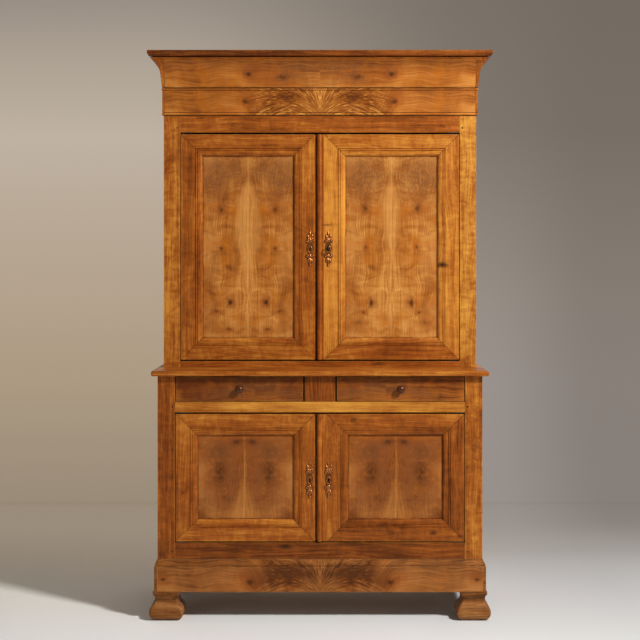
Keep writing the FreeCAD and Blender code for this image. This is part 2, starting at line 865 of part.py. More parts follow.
def make_upper_carcass():
    height = cornice_z - upper_z
    pegs = post_pair("upper_front_posts", half_upper, s.upper_post_width, upper_y, upper_z,
                     height, [upper_top_rail_z + s.peg_upper_height])
    side_frames("upper_side_frames", half_upper, upper_y, upper_z, height,
                s.side_top_rail_height)
    panel_height = height - s.side_top_rail_height * 2
    side_panels("upper_side_panels", half_upper, upper_y, upper_z + s.side_top_rail_height,
                panel_height)
    finish(box("upper_bottom_rail", -upper_inner, upper_y, upper_z, upper_inner * 2,
               s.rail_thickness, s.upper_bottom_rail_height), "upper_bottom_rail")
    finish(box("upper_top_rail", -upper_inner, upper_y, upper_top_rail_z, upper_inner * 2,
               s.rail_thickness, s.upper_top_rail_height), "upper_top_rail")
    notched_board("upper_bottom_board", upper_inner, upper_wall, upper_y,
                  upper_opening_z - s.board_thickness)
    notched_board("upper_ceiling_board", upper_inner, upper_wall, upper_y,
                  cornice_z - s.board_thickness)
    back_boards("upper_back_boards", upper_wall, upper_z, height, UPPER_BACK_BOARDS)
    return pegs


# Shelves on their cleats

def shelf(name, wall, front, z):
    y = front + s.shelf_setback
    return box(name, -(wall - s.shelf_side_gap), y, z,
               (wall - s.shelf_side_gap) * 2, inner_back_y - y, s.board_thickness)


def cleats(name, wall, front, z):
    y = front + s.post_depth
    length = inner_back_y - y
    low = z - s.cleat_height
    left = box(name + "_left", -wall, y, low, s.cleat_width, length, s.cleat_height)
    right = box(name + "_right", wall - s.cleat_width, y, low,
                s.cleat_width, length, s.cleat_height)
    return [left, right]


def make_shelves():
    base_shelf_z = lower_opening_z + s.base_shelf_height
    finish(shelf("base_shelf", base_wall, base_y, base_shelf_z), "base_shelf")
    strips = cleats("base_cleat", base_wall, base_y, base_shelf_z)
    boards = []
    for number, share in enumerate(UPPER_SHELF_SHARES):
        z = upper_opening_z + s.upper_opening_height * share
        boards.append(shelf("upper_shelf" + str(number), upper_wall, upper_y, z))
        strips = strips + cleats("upper_cleat" + str(number), upper_wall, upper_y, z)
    finish(group("upper_shelves", boards), "upper_shelves")
    finish(group("shelf_cleats", strips), "shelf_cleats")


# Drawer runners and guides

def make_runners():
    rail_y = base_y + s.rail_thickness
    rear_y = inner_back_y - s.side_thickness
    z = drawer_opening_z - s.board_thickness
    notch = s.post_depth - s.rail_thickness
    length = rear_y - rail_y
    members = []
    face = base_inner - s.drawer_side_gap
    for side, key in ((-1, "left"), (1, "right")):
        runner_x = base_inner - s.runner_width
        loop = [(side * runner_x, ZERO), (side * base_inner, ZERO), (side * base_inner, notch),
                (side * base_wall, notch), (side * base_wall, length),
                (side * runner_x, length)]
        members.append(pad("runner_" + key, "XY_Plane", [loop], s.board_thickness,
                           y=rail_y, z=z))
        guide_x = face + s.guide_gap
        low_x = guide_x if side > 0 else -(guide_x + s.guide_width)
        members.append(box("guide_" + key, low_x, rail_y + notch, drawer_opening_z,
                           s.guide_width, length - notch, s.guide_height))
    half_centre = s.centre_runner_width / 2
    members.append(box("runner_centre", -half_centre, rail_y, z, s.centre_runner_width,
                       length, s.board_thickness))
    half_guide = s.divider_width / 2 + s.drawer_divider_gap - s.guide_gap
    guide_y = base_y + s.divider_thickness
    members.append(box("guide_centre", -half_guide, guide_y, drawer_opening_z,
                       half_guide * 2, rear_y - guide_y, s.guide_height))
    members.append(box("runner_rear_rail", -base_wall, rear_y, middle_rail_z,
                       base_wall * 2, s.side_thickness, s.middle_rail_height))
    finish(group("drawer_runners", members), "drawer_runners")


# Drawers with their knobs

def knob(name, x, y, z):
    """Turned knob: foot, neck, flaring underside and domed crown, on a spigot."""
    body = doc.addObject("PartDesign::Body", name)
    turned = body.newObject("PartDesign::Revolution", name + "_turned")
    reach = s.knob_reach
    loop = [
        (s.knob_spigot_length, ZERO),
        (-reach, ZERO),
        (-reach, s.knob_tip_radius),
        (-s.knob_rim_height, s.knob_radius, s.knob_crown_radius, "right"),
        (-s.knob_neck_height, s.knob_neck_radius, s.knob_flare_radius, "left"),
        (-s.knob_foot_height, s.knob_foot_radius, s.knob_cove_radius, "left"),
        (ZERO, s.knob_foot_radius),
        (ZERO, s.knob_spigot_radius),
        (s.knob_spigot_length, s.knob_spigot_radius),
    ]
    sketch = sketch_on(body, "YZ_Plane", [loop])
    turned.Profile = sketch
    turned.ReferenceAxis = (sketch, ["H_Axis"])
    turned.Angle = 360
    body.Tip = turned
    return place(body, x, y, z)


def make_drawer(side, key):
    """Front, dovetailed box and knob; every piece rides on the drawer."""
    name = key + "_drawer"
    near = s.divider_width / 2 + s.drawer_divider_gap
    far = base_inner - s.drawer_side_gap
    width = far - near
    x = near if side > 0 else -far
    z = drawer_opening_z + s.drawer_bottom_gap
    height = s.drawer_opening_height - s.drawer_bottom_gap - s.drawer_top_gap
    knob_x = side * ((near + far) / 2)
    knob_z = z + height / 2
    loop = [(x, z), (x + width, z), (x + width, z + height), (x, z + height)]
    front = pad(name + "_front", "XZ_Plane", [loop], s.drawer_front_thickness, y=base_y,
                circles=[(knob_x, knob_z, s.knob_spigot_radius + s.spigot_fit)])
    finish(front, name + "_front")
    side_z = drawer_opening_z + s.running_gap
    side_y = base_y + s.drawer_front_thickness
    length = s.base_depth - s.drawer_rear_room - s.drawer_front_thickness
    inside = width - s.drawer_board * 2
    bottom_z = side_z + s.drawer_bottom_lift
    back_height = s.drawer_side_height - s.drawer_bottom_lift - s.drawer_bottom_thickness
    members = [
        box(name + "_side_near", x, side_y, side_z, s.drawer_board, length,
            s.drawer_side_height),
        box(name + "_side_far", x + width - s.drawer_board, side_y, side_z, s.drawer_board,
            length, s.drawer_side_height),
        box(name + "_bottom", x + s.drawer_board, side_y, bottom_z, inside, length,
            s.drawer_bottom_thickness),
        box(name + "_back", x + s.drawer_board, side_y + length - s.drawer_board,
            bottom_z + s.drawer_bottom_thickness, inside, s.drawer_board, back_height),
    ]
    finish(group(name + "_box", members), name + "_box")
    finish(knob(name + "_knob", knob_x, base_y, knob_z), name + "_knob")


# Doors

class Door:
    """Places of one door, worked out from its opening."""

    def __init__(self, key, side, upper):
        self.key = key
        self.side = side
        self.front = upper_y if upper else base_y
        inner = upper_inner if upper else base_inner
        bottom_gap = s.upper_door_bottom_gap if upper else s.lower_door_bottom_gap
        top_gap = s.upper_door_top_gap if upper else s.lower_door_top_gap
        opening_z = upper_opening_z if upper else lower_opening_z
        opening = s.upper_opening_height if upper else s.lower_opening_height
        self.bottom_gap = bottom_gap
        self.top_gap = top_gap
        self.strip = s.upper_strip_width if upper else s.lower_strip_width
        self.member = s.upper_member_width if upper else s.lower_member_width
        self.z = opening_z + bottom_gap
        self.height = opening - bottom_gap - top_gap
        edge = inner - s.door_side_gap
        if side < 0:
            self.x = -edge
            self.end = -(s.strip_offset + s.door_meeting_gap)
            self.keyhole_x = self.end - s.left_plate_backset
        else:
            self.x = self.strip - s.strip_offset
            self.end = edge
            self.keyhole_x = s.right_plate_backset - s.strip_offset
        self.width = self.end - self.x
        self.pivot_x = side * (edge - s.pivot_inset)
        self.pivot_y = self.front + s.pivot_setback
        rise = s.upper_keyhole_height if upper else s.lower_keyhole_height
        self.keyhole_z = self.z + rise


def member_profile(width):
    """Section of a door member: across from its outer edge, back from its face."""
    run = width - s.moulding_width
    bead_x = run + s.moulding_quirk
    bead = s.moulding_bead_radius
    cove_x = bead_x + bead * 2
    lip_x = width - s.moulding_lip_width
    groove_back = s.panel_recess + s.panel_tongue + s.groove_clearance
    groove_x = width - s.groove_depth - s.groove_clearance
    return [
        (ZERO, ZERO),
        (run, ZERO),
        (bead_x, bead),
        (bead_x + bead, ZERO, bead, "left"),
        (cove_x, bead, bead, "left"),
        (lip_x, s.moulding_lip_depth, s.moulding_cove_radius, "right"),
        (width, s.panel_recess, s.moulding_lip_radius, "left"),
        (groove_x, s.panel_recess),
        (groove_x, groove_back),
        (width, groove_back),
        (width, s.door_thickness),
        (ZERO, s.door_thickness),
    ]


def member(name, width, length, x, z, front, degrees):
    """Mitred member that lies along X with its outer edge down, then turned in place."""
    body = doc.addObject("PartDesign::Body", name)
    feature = body.newObject("PartDesign::Pad", name + "_run")
    loop = [with_arc(p[1], p[0], p, True) for p in member_profile(width)]
    feature.Profile = sketch_on(body, "YZ_Plane", [loop])
    feature.setExpression("Length", length.text)
    body.Tip = feature
    far = length + s.overrun
    high = width + s.overrun
    left = [(ZERO, ZERO), (high, high), (-s.overrun, high), (-s.overrun, ZERO)]
    right = [(length, ZERO), (far, ZERO), (far, high), (length - high, high)]
    pocket(body, "XZ_Plane", [left, right])
    return place(body, x, front, z, turn=((0, 1, 0), degrees))


def keyhole_cut(name, door, y, depth):
    """Round bore for the shank with a slot below it for the bit."""
    slot = s.keyhole_slot_width
    length = s.keyhole_slot_length
    bore = cylinder(name + "_bore", door.keyhole_x, y, door.keyhole_z,
                    s.key_shank_radius + s.key_hole_clearance, depth, turn=((1, 0, 0), -90))
    slit = box(name + "_slit", door.keyhole_x - slot / 2, y, door.keyhole_z - length,
               slot, depth, length)
    return joined("Part::Fuse", name, bore, slit)


def door_frame(door):
    """Four mitred members; the meeting stile is pierced for the key, or blind on the left."""
    key = door.key + "_member"
    far_x = door.x + door.width
    far_z = door.z + door.height
    bottom = member(key + "_bottom", door.member, door.width, door.x, door.z, door.front, 0)
    top = member(key + "_top", door.member, door.width, far_x, far_z, door.front, 180)
    right = member(key + "_right", door.member, door.height, far_x, door.z, door.front, -90)
    left = member(key + "_left", door.member, door.height, door.x, far_z, door.front, 90)
    members = [bottom, top, right, left]
    if door.side > 0:
        hole = keyhole_cut(door.key + "_keyhole", door, door.front - s.overrun,
                           s.door_thickness + s.overrun * 2)
        members[-1] = joined("Part::Cut", door.key + "_meeting_stile", left, hole)
    else:
        hole = keyhole_cut(door.key + "_keyhole", door, door.front - s.overrun,
                           s.false_keyhole_depth + s.overrun)
        members[-2] = joined("Part::Cut", door.key + "_meeting_stile", right, hole)
        lip_width = s.door_meeting_gap - s.lip_clearance
        lip_y = door.front + s.door_thickness - s.lip_thickness
        members.append(box(door.key + "_closing_lip", door.end, lip_y, door.z,
                           lip_width, s.lip_thickness, door.height))
    finish(group(door.key + "_frame", members), door.key + "_frame")


def door_panel(door):
    """Flat panel with a bevelled back, held in the grooves of the frame."""
    reveal = s.groove_depth
    half_width = door.width / 2 - door.member + reveal
    half_height = door.height / 2 - door.member + reveal
    tongue = s.panel_tongue
    thick = s.panel_thickness
    shoulder = s.panel_shoulder
    middle_x = door.x + door.width / 2
    middle_z = door.z + door.height / 2
    front = door.front + s.panel_recess
    plan = [(-half_width, ZERO), (half_width, ZERO), (half_width, tongue),
            (half_width - shoulder, tongue), (half_width - s.panel_bevel, thick),
            (s.panel_bevel - half_width, thick), (shoulder - half_width, tongue),
            (-half_width, tongue)]
    edge = [(ZERO, -half_height), (tongue, -half_height), (tongue, shoulder - half_height),
            (thick, s.panel_bevel - half_height), (thick, half_height - s.panel_bevel),
            (tongue, half_height - shoulder), (tongue, half_height), (ZERO, half_height)]
    upright = pad(door.key + "_panel_plan", "XY_Plane", [plan], half_height * 2,
                  x=middle_x, y=front, z=middle_z - half_height)
    level = pad(door.key + "_panel_edge", "YZ_Plane", [edge], half_width * 2,
                x=middle_x - half_width, y=front, z=middle_z)
    finish(joined("Part::Common", door.key + "_panel", upright, level), door.key + "_panel")


def door_plate(door):
    """Stamped escutcheon plate with its keyhole."""
    half_path = []
    for across, up, radius, turn in PLATE_EDGE_SHARES:
        point = (s.plate_half_width * across if across else ZERO, s.plate_half_height * up)
        half_path.append(point + (s.plate_half_width * radius, turn))
    outline = closing_arc(half_path, both_sides(half_path))
    slot = s.keyhole_slot_width / 2
    hole_z = s.plate_drop
    plate = pad(door.key + "_plate_blank", "XZ_Plane", [outline], s.plate_thickness,
                x=door.keyhole_x, y=door.front - s.plate_thickness,
                z=door.keyhole_z - hole_z)
    pocket(plate, "XZ_Plane", circles=[(ZERO, hole_z, s.keyhole_radius)])
    pocket(plate, "XZ_Plane", [[(-slot, hole_z), (slot, hole_z),
                                (slot, hole_z - s.keyhole_slot_length),
                                (-slot, hole_z - s.keyhole_slot_length)]])
    finish(plate, door.key + "_escutcheon")


def pivot_pair(door):
    """Lower and upper pivot of a door, and the socket plates on the carcass."""
    leaves = []
    sockets = []
    plate = s.pivot_plate_thickness
    side = door.side
    low_x = door.pivot_x - (s.pivot_plate_length - s.pivot_plate_end if side > 0
                            else s.pivot_plate_end)
    low_y = door.front
    levels = (
        ("bottom", door.z - plate, door.z - door.bottom_gap, door.bottom_gap, -1),
        ("top", door.z + door.height, door.z + door.height + door.top_gap - plate,
         door.top_gap, 1),
    )
    for key, leaf_z, socket_z, gap, up in levels:
        name = door.key + "_" + key
        leaf = box(name + "_leaf", low_x, low_y, leaf_z, s.pivot_plate_length,
                   s.pivot_plate_width, plate)
        pin_height = gap - s.pivot_end_gap
        pin_z = leaf_z if up > 0 else leaf_z + plate - pin_height
        pin = cylinder(name + "_pin", door.pivot_x, door.pivot_y, pin_z,
                       s.pivot_pin_radius, pin_height)
        leaves.append(joined("Part::Fuse", name + "_pivot", leaf, pin))
        blank = box(name + "_socket_blank", low_x, low_y, socket_z, s.pivot_plate_length,
                    s.pivot_plate_width, plate)
        bore = cylinder(name + "_socket_bore", door.pivot_x, door.pivot_y,
                        socket_z - s.overrun, s.pivot_pin_radius + s.pivot_fit,
                        plate + s.overrun * 2)
        sockets.append(joined("Part::Cut", name + "_socket", blank, bore))
    return leaves, sockets


def bead_strip(door):
    """Edge strip of a right-hand door with its round bead."""
    bead = s.strip_bead_width
    rise = s.strip_bead_rise
    half = bead / 2
    quirk = s.strip_quirk
    radius = s.strip_bead_radius
    loop = [
        (ZERO, ZERO),
        (half, -rise, radius, "right"),
        (bead, ZERO, radius, "right"),
        (bead + quirk / 2, quirk),
        (bead + quirk, ZERO),
        (door.strip, ZERO),
        (door.strip, s.door_thickness),
        (ZERO, s.door_thickness),
    ]
    loop = [with_arc(p[0], p[1], p, True) for p in loop]
    strip = pad(door.key + "_bead_strip", "XY_Plane", [loop], door.height,
                x=-s.strip_offset, y=door.front, z=door.z)
    finish(strip, door.key + "_bead_strip")


# Rim lock, its bolt, and the key

def lock_case(door):
    """Closed case on the inside of the door, hollow for the key bit and for the bolt."""
    name = door.key + "_lock"
    x = s.lock_edge_inset - s.strip_offset
    y = door.front + s.door_thickness
    low = door.keyhole_z - s.lock_below
    blank = box(name + "_blank", x, y, low, s.lock_width, s.lock_depth,
                s.lock_below + s.lock_above)
    chamber = cylinder(name + "_chamber", door.keyhole_x, y + s.lock_wall, door.keyhole_z,
                       s.chamber_radius, s.lock_depth - s.lock_wall * 2,
                       turn=((1, 0, 0), -90))
    hole = keyhole_cut(name + "_keyhole", door, y - s.overrun, s.lock_wall + s.overrun * 2)
    hollow = joined("Part::Fuse", name + "_hollow", chamber, hole)
    fit = s.lock_bolt_fit
    bolt_y = y + (s.lock_depth - s.lock_bolt_thickness) / 2
    bolt_z = door.keyhole_z + s.lock_bolt_rise
    channel = box(name + "_channel", x - s.overrun, bolt_y - fit, bolt_z - fit,
                  s.overrun + s.lock_bolt_nose + s.lock_bolt_length + s.lock_wall,
                  s.lock_bolt_thickness + fit * 2, s.lock_bolt_height + fit * 2)
    cut = joined("Part::Cut", name + "_bored", blank, hollow)
    finish(joined("Part::Cut", name + "_case", cut, channel), name + "_case")
    bolt = box(name + "_bolt", x + s.lock_bolt_nose, bolt_y, bolt_z, s.lock_bolt_length,
               s.lock_bolt_thickness, s.lock_bolt_height)
    finish(bolt, name + "_bolt")


def make_key(door):
    """Iron key: ring bow, collar, round shank and bit, with the bit hanging down."""
    y = door.front - s.plate_thickness - s.key_collar_standoff
    z = door.keyhole_z
    x = door.keyhole_x
    back_turn = ((1, 0, 0), -90)
    inside = s.door_thickness + s.lock_wall + s.key_bit_depth
    ring_y = y - s.key_collar_height - s.key_bow_radius
    shank_y = y - s.key_collar_height
    shank_length = door.front + inside - shank_y
    shank = cylinder("key_shank", x, shank_y, z, s.key_shank_radius, shank_length, back_turn)
    collar = cylinder("key_collar", x, shank_y, z, s.key_collar_radius,
                      s.key_collar_height, back_turn)
    bow = doc.addObject("Part::Torus", "key_bow")
    bow.setExpression("Radius1", s.key_bow_radius.text)
    bow.setExpression("Radius2", s.key_bow_section.text)
    place(bow, x, ring_y, z, turn=((0, 1, 0), 90))
    bit_y = door.front + s.door_thickness + s.lock_wall
    bit = box("key_bit", x - s.key_bit_width / 2, bit_y + s.running_gap,
              z - s.key_bit_height, s.key_bit_width, s.key_bit_depth - s.running_gap,
              s.key_bit_height)
    shaft = joined("Part::Fuse", "key_shaft", collar, shank)
    blade = joined("Part::Fuse", "key_blade", shaft, bit)
    finish(joined("Part::Fuse", "key", blade, bow), "key")


def door_bolt(door):
    """Slide bolt on the inside of a left-hand door; it shoots up behind the rail."""
    name = door.key + "_bolt"
    x = door.end - s.door_bolt_edge_inset - s.door_bolt_width
    face = door.front + s.door_thickness
    y = face + s.door_bolt_standoff
    top = door.z + door.height - s.door_bolt_top_inset
    bar = box(name + "_bar", x, y, top - s.door_bolt_length, s.door_bolt_width,
              s.door_bolt_thickness, s.door_bolt_length)
    grip_z = top - s.door_bolt_length + s.bolt_grip_radius * 2
    grip = cylinder(name + "_grip", x + s.door_bolt_width / 2, y, grip_z,
                    s.bolt_grip_radius, s.door_bolt_thickness + s.bolt_grip_length,
                    turn=((1, 0, 0), -90))
    finish(joined("Part::Fuse", name, bar, grip), name)
    straps = []
    fit = s.strap_fit
    strap_x = x - fit - s.strap_wall - s.strap_ear
    strap_length = s.door_bolt_width + (fit + s.strap_wall + s.strap_ear) * 2
    rise = s.door_bolt_standoff + s.door_bolt_thickness + fit + s.strap_wall
    for number in range(BOLT_STRAPS):
        strap_z = top - s.strap_top_inset - s.strap_width - s.strap_spacing * number
        loop = both_sides([
            (s.door_bolt_width / 2 + fit, ZERO),
            (strap_length / 2, ZERO),
            (strap_length / 2, s.strap_wall),
            (s.door_bolt_width / 2 + fit + s.strap_wall, s.strap_wall),
            (s.door_bolt_width / 2 + fit + s.strap_wall, rise),
        ])
        inner_half = s.door_bolt_width / 2 + fit
        inner_rise = rise - s.strap_wall
        loop = loop + [(-inner_half, inner_rise), (inner_half, inner_rise)]
        straps.append(pad(name + "_strap" + str(number), "XY_Plane", [loop], s.strap_width,
                          x=strap_x + strap_length / 2, y=face, z=strap_z))
    return straps


def make_doors():
    """Four doors with their plates, pivots and locks; the sockets go to the carcass."""
    all_sockets = []
    for upper, level in ((True, "upper"), (False, "lower")):
        for side, hand in ((-1, "left"), (1, "right")):
            door = Door(level + "_" + hand + "_door", side, upper)
            door_frame(door)
            door_panel(door)
            door_plate(door)
            leaves, sockets = pivot_pair(door)
            all_sockets = all_sockets + sockets
            if side > 0:
                bead_strip(door)
                lock_case(door)
                if upper:
                    make_key(door)
            else:
                leaves = leaves + door_bolt(door)
            finish(group(door.key + "_ironwork", leaves), door.key + "_ironwork")
    finish(group("pivot_sockets", all_sockets), "pivot_sockets")


# Build, check and write

make_feet()
make_plinth()
frame_pegs = make_base_carcass() + make_upper_carcass()
finish(group("frame_pegs", frame_pegs), "frame_pegs")
make_waist_board()
make_cornice_ring("frieze", frieze_profile(), cornice_z, s.frieze_height)
make_cornice_ring("cornice_cove", cove_profile(), cove_z, s.cove_height)
make_cornice_top()
make_shelves()
make_runners()
make_drawer(-1, "left")
make_drawer(1, "right")
make_doors()

doc.recompute()
failed = [o.Name for o in doc.Objects if "Invalid" in o.State or "Error" in o.State]
for item in PARTS:
    if item.Shape.isNull() or not item.Shape.isValid() or not item.Shape.Solids:
        failed.append(item.Label)
if failed:
    raise RuntimeError("these objects failed: " + ", ".join(failed))
if len(PARTS) != len({item.Label for item in PARTS}):
    raise RuntimeError("two sub-parts share a label")

os.makedirs("parts", exist_ok=True)
for item in PARTS:
    item.Shape.exportStep(os.path.join("parts", item.Label + ".step"))
print(len(PARTS), "sub-parts written")
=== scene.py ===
"""Two-body cupboard in waxed fruitwood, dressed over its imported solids."""

import json
import logging
import math
from dataclasses import dataclass, field
from enum import Enum
from functools import cache
from typing import Iterable, Optional, Sequence, Union

import bmesh
import bpy
from bmesh.types import BMEdge, BMFace, BMVert
from bpy.types import Node, NodeSocket
from mathutils import Matrix, Vector


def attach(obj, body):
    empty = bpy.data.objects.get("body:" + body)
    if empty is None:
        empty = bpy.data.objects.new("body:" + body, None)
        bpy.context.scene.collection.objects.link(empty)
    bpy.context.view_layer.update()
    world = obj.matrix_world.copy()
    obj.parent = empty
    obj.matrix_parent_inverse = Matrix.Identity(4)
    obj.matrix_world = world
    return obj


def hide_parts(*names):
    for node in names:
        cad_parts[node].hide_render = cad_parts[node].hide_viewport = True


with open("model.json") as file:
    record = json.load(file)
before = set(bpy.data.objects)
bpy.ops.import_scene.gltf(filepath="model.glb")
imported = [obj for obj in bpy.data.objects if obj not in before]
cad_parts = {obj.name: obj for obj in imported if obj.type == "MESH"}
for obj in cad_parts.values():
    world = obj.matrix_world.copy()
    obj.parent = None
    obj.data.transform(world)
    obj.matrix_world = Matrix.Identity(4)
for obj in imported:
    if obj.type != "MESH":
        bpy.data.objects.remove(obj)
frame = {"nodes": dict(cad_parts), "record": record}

LOG = logging.getLogger("cupboard")

# Planes and heights shared by the sub-assemblies, in metres
BACK_Y = 0.2955
BASE_Y = -0.2645
UPPER_Y = -0.1045
INNER_BACK_Y = 0.2835
BASE_Z = 0.112
LOWER_OPENING_Z = 0.307
MIDDLE_RAIL_Z = 0.828
DRAWER_Z = 0.870
WAIST_Z = 0.974
UPPER_Z = 0.995
UPPER_OPENING_Z = 1.021
TOP_RAIL_Z = 1.965
CORNICE_Z = 2.035
COVE_Z = 2.147
TOP_Z = 2.272

# Thicknesses and widths shared by both bodies
POST_DEPTH = 0.045
REAR_POST_Y = 0.2355
RAIL_DEPTH = 0.026
SIDE_RAIL = 0.090
BOARD = 0.020
REAR_BOARD = 0.022
HAIRLINE = 0.0008

# The setting that a word alone gives to each kind of node
CHOICES = {"Math": "operation", "VectorMath": "operation", "MapRange": "interpolation_type",
           "MixRGB": "blend_type", "Mix": "data_type", "Attribute": "attribute_name"}

# Distance between the rings that the fibres make round a knot, in metres
SWIRL_RING = 0.013

X_WAY = Vector((1, 0, 0))
Y_WAY = Vector((0, 1, 0))
Z_WAY = Vector((0, 0, 1))


class Turn(Enum):
    """Which way an arc of a section bends as it is walked."""

    LEFT = 1
    RIGHT = -1


class Grain(Enum):
    """Axes along, across and through a board, as its fibres run."""

    LEVEL = (0, 2, 1)
    UPRIGHT = (2, 0, 1)
    SHELF = (0, 1, 2)
    DEEP = (1, 2, 0)
    DEEP_SHELF = (1, 0, 2)


class Slot(Enum):
    """Material slots of the record."""

    PLAIN = "waxed_fruitwood"
    FIGURED = "figured_fruitwood"
    SECONDARY = "secondary_softwood"
    BRASS = "stamped_brass"
    IRON = "forged_iron"
    KNOB = "dark_turned_wood"


@dataclass(frozen=True)
class Stock:
    """One length of timber.

    Args:
        grain: the way that its fibres run.
        seed: a number that sets this length apart from the others.
        tone: how much lighter or darker it is than the rest, from -1 to 1.
        curl: strength of the ripple across its fibres, from 0 to 1.
        red: how much redder it is than the rest, from 0 to 1.
    """

    grain: Grain
    seed: float
    tone: float = 0.0
    curl: float = 0.4
    red: float = 0.3


@dataclass(frozen=True)
class Station:
    """Place of a section along a moulding.

    Args:
        origin: where the section's own origin comes.
        out: the way that its first number runs; a longer vector stretches it, as at a mitre.
        up: the way that its second number runs.
    """

    origin: Vector
    out: Vector
    up: Vector = field(default_factory=lambda: Z_WAY.copy())

    def at(self, section: Vector) -> Vector:
        """Return the place of one point of the section."""
        return self.origin + self.out * section.x + self.up * section.y

    def plane(self) -> tuple[Vector, Vector]:
        """Return a point and the normal of the plane that holds the section."""
        return self.origin, self.out.cross(self.up).normalized()


@dataclass(frozen=True)
class Outline:
    """Section of a moulding, as straight steps and arcs.

    Args:
        steps: each is (out, up), or (out, up, radius, turn) for an arc to that point.
        facet: the most that one facet of an arc turns, in degrees.
    """

    steps: tuple
    facet: float = 12.0

    def trace(self, bm: bmesh.types.BMesh) -> list[BMVert]:
        """Draw the section in the XY plane.

        Args:
            bm: the bmesh that gets the new vertices and edges.

        Returns:
            The vertices in order; the chain isn't closed.
        """
        chain = [bm.verts.new((self.steps[0][0], self.steps[0][1], 0.0))]
        for step in self.steps[1:]:
            last = chain[-1]
            end = Vector((step[0], step[1], 0.0))
            if len(step) == 2:
                chain.append(bm.verts.new(end))
                bm.edges.new((last, chain[-1]))
                continue
            radius, turn = step[2], step[3]
            chord = end - last.co
            angle = 2 * math.asin(min(1.0, chord.length / 2 / radius))
            side = Vector((-chord.y, chord.x, 0.0)).normalized() * turn.value
            centre = (last.co + end) / 2 + side * radius * math.cos(angle / 2)
            count = max(2, math.ceil(math.degrees(angle) / self.facet))
            for _ in range(count):
                spun = bmesh.ops.spin(bm, geom=[chain[-1]], cent=centre, axis=Z_WAY,
                                      angle=turn.value * angle / count, steps=1, use_duplicate=False)
                chain.append(spun["geom_last"][0])
        return chain

    def points(self) -> list[tuple[float, float]]:
        """Return the section as a list of its points."""
        scratch = bmesh.new()
        chain = [(v.co.x, v.co.y) for v in self.trace(scratch)]
        scratch.free()
        return chain


def edges_at(verts: Iterable[BMVert]) -> list[BMEdge]:
    """Return the edges at some vertices once each, in an order that is the same each run."""
    return list(dict.fromkeys(e for v in verts for e in v.link_edges))


def faces_at(verts: Iterable[BMVert]) -> list[BMFace]:
    """Return the faces at some vertices once each, in an order that is the same each run."""
    return list(dict.fromkeys(f for v in verts for f in v.link_faces))


@dataclass(frozen=True)
class Finish:
    """What covers a piece.

    Args:
        name: the finish's name.
        slot: the record's material slot that it stands for.
    """

    name: str
    slot: Slot

    def material(self) -> bpy.types.Material:
        """Build the finish; each kind of finish has its own way."""
        raise NotImplementedError(self.name)

    @cache
    def made(self) -> bpy.types.Material:
        """Return the finish's material, which is built once."""
        return self.material()


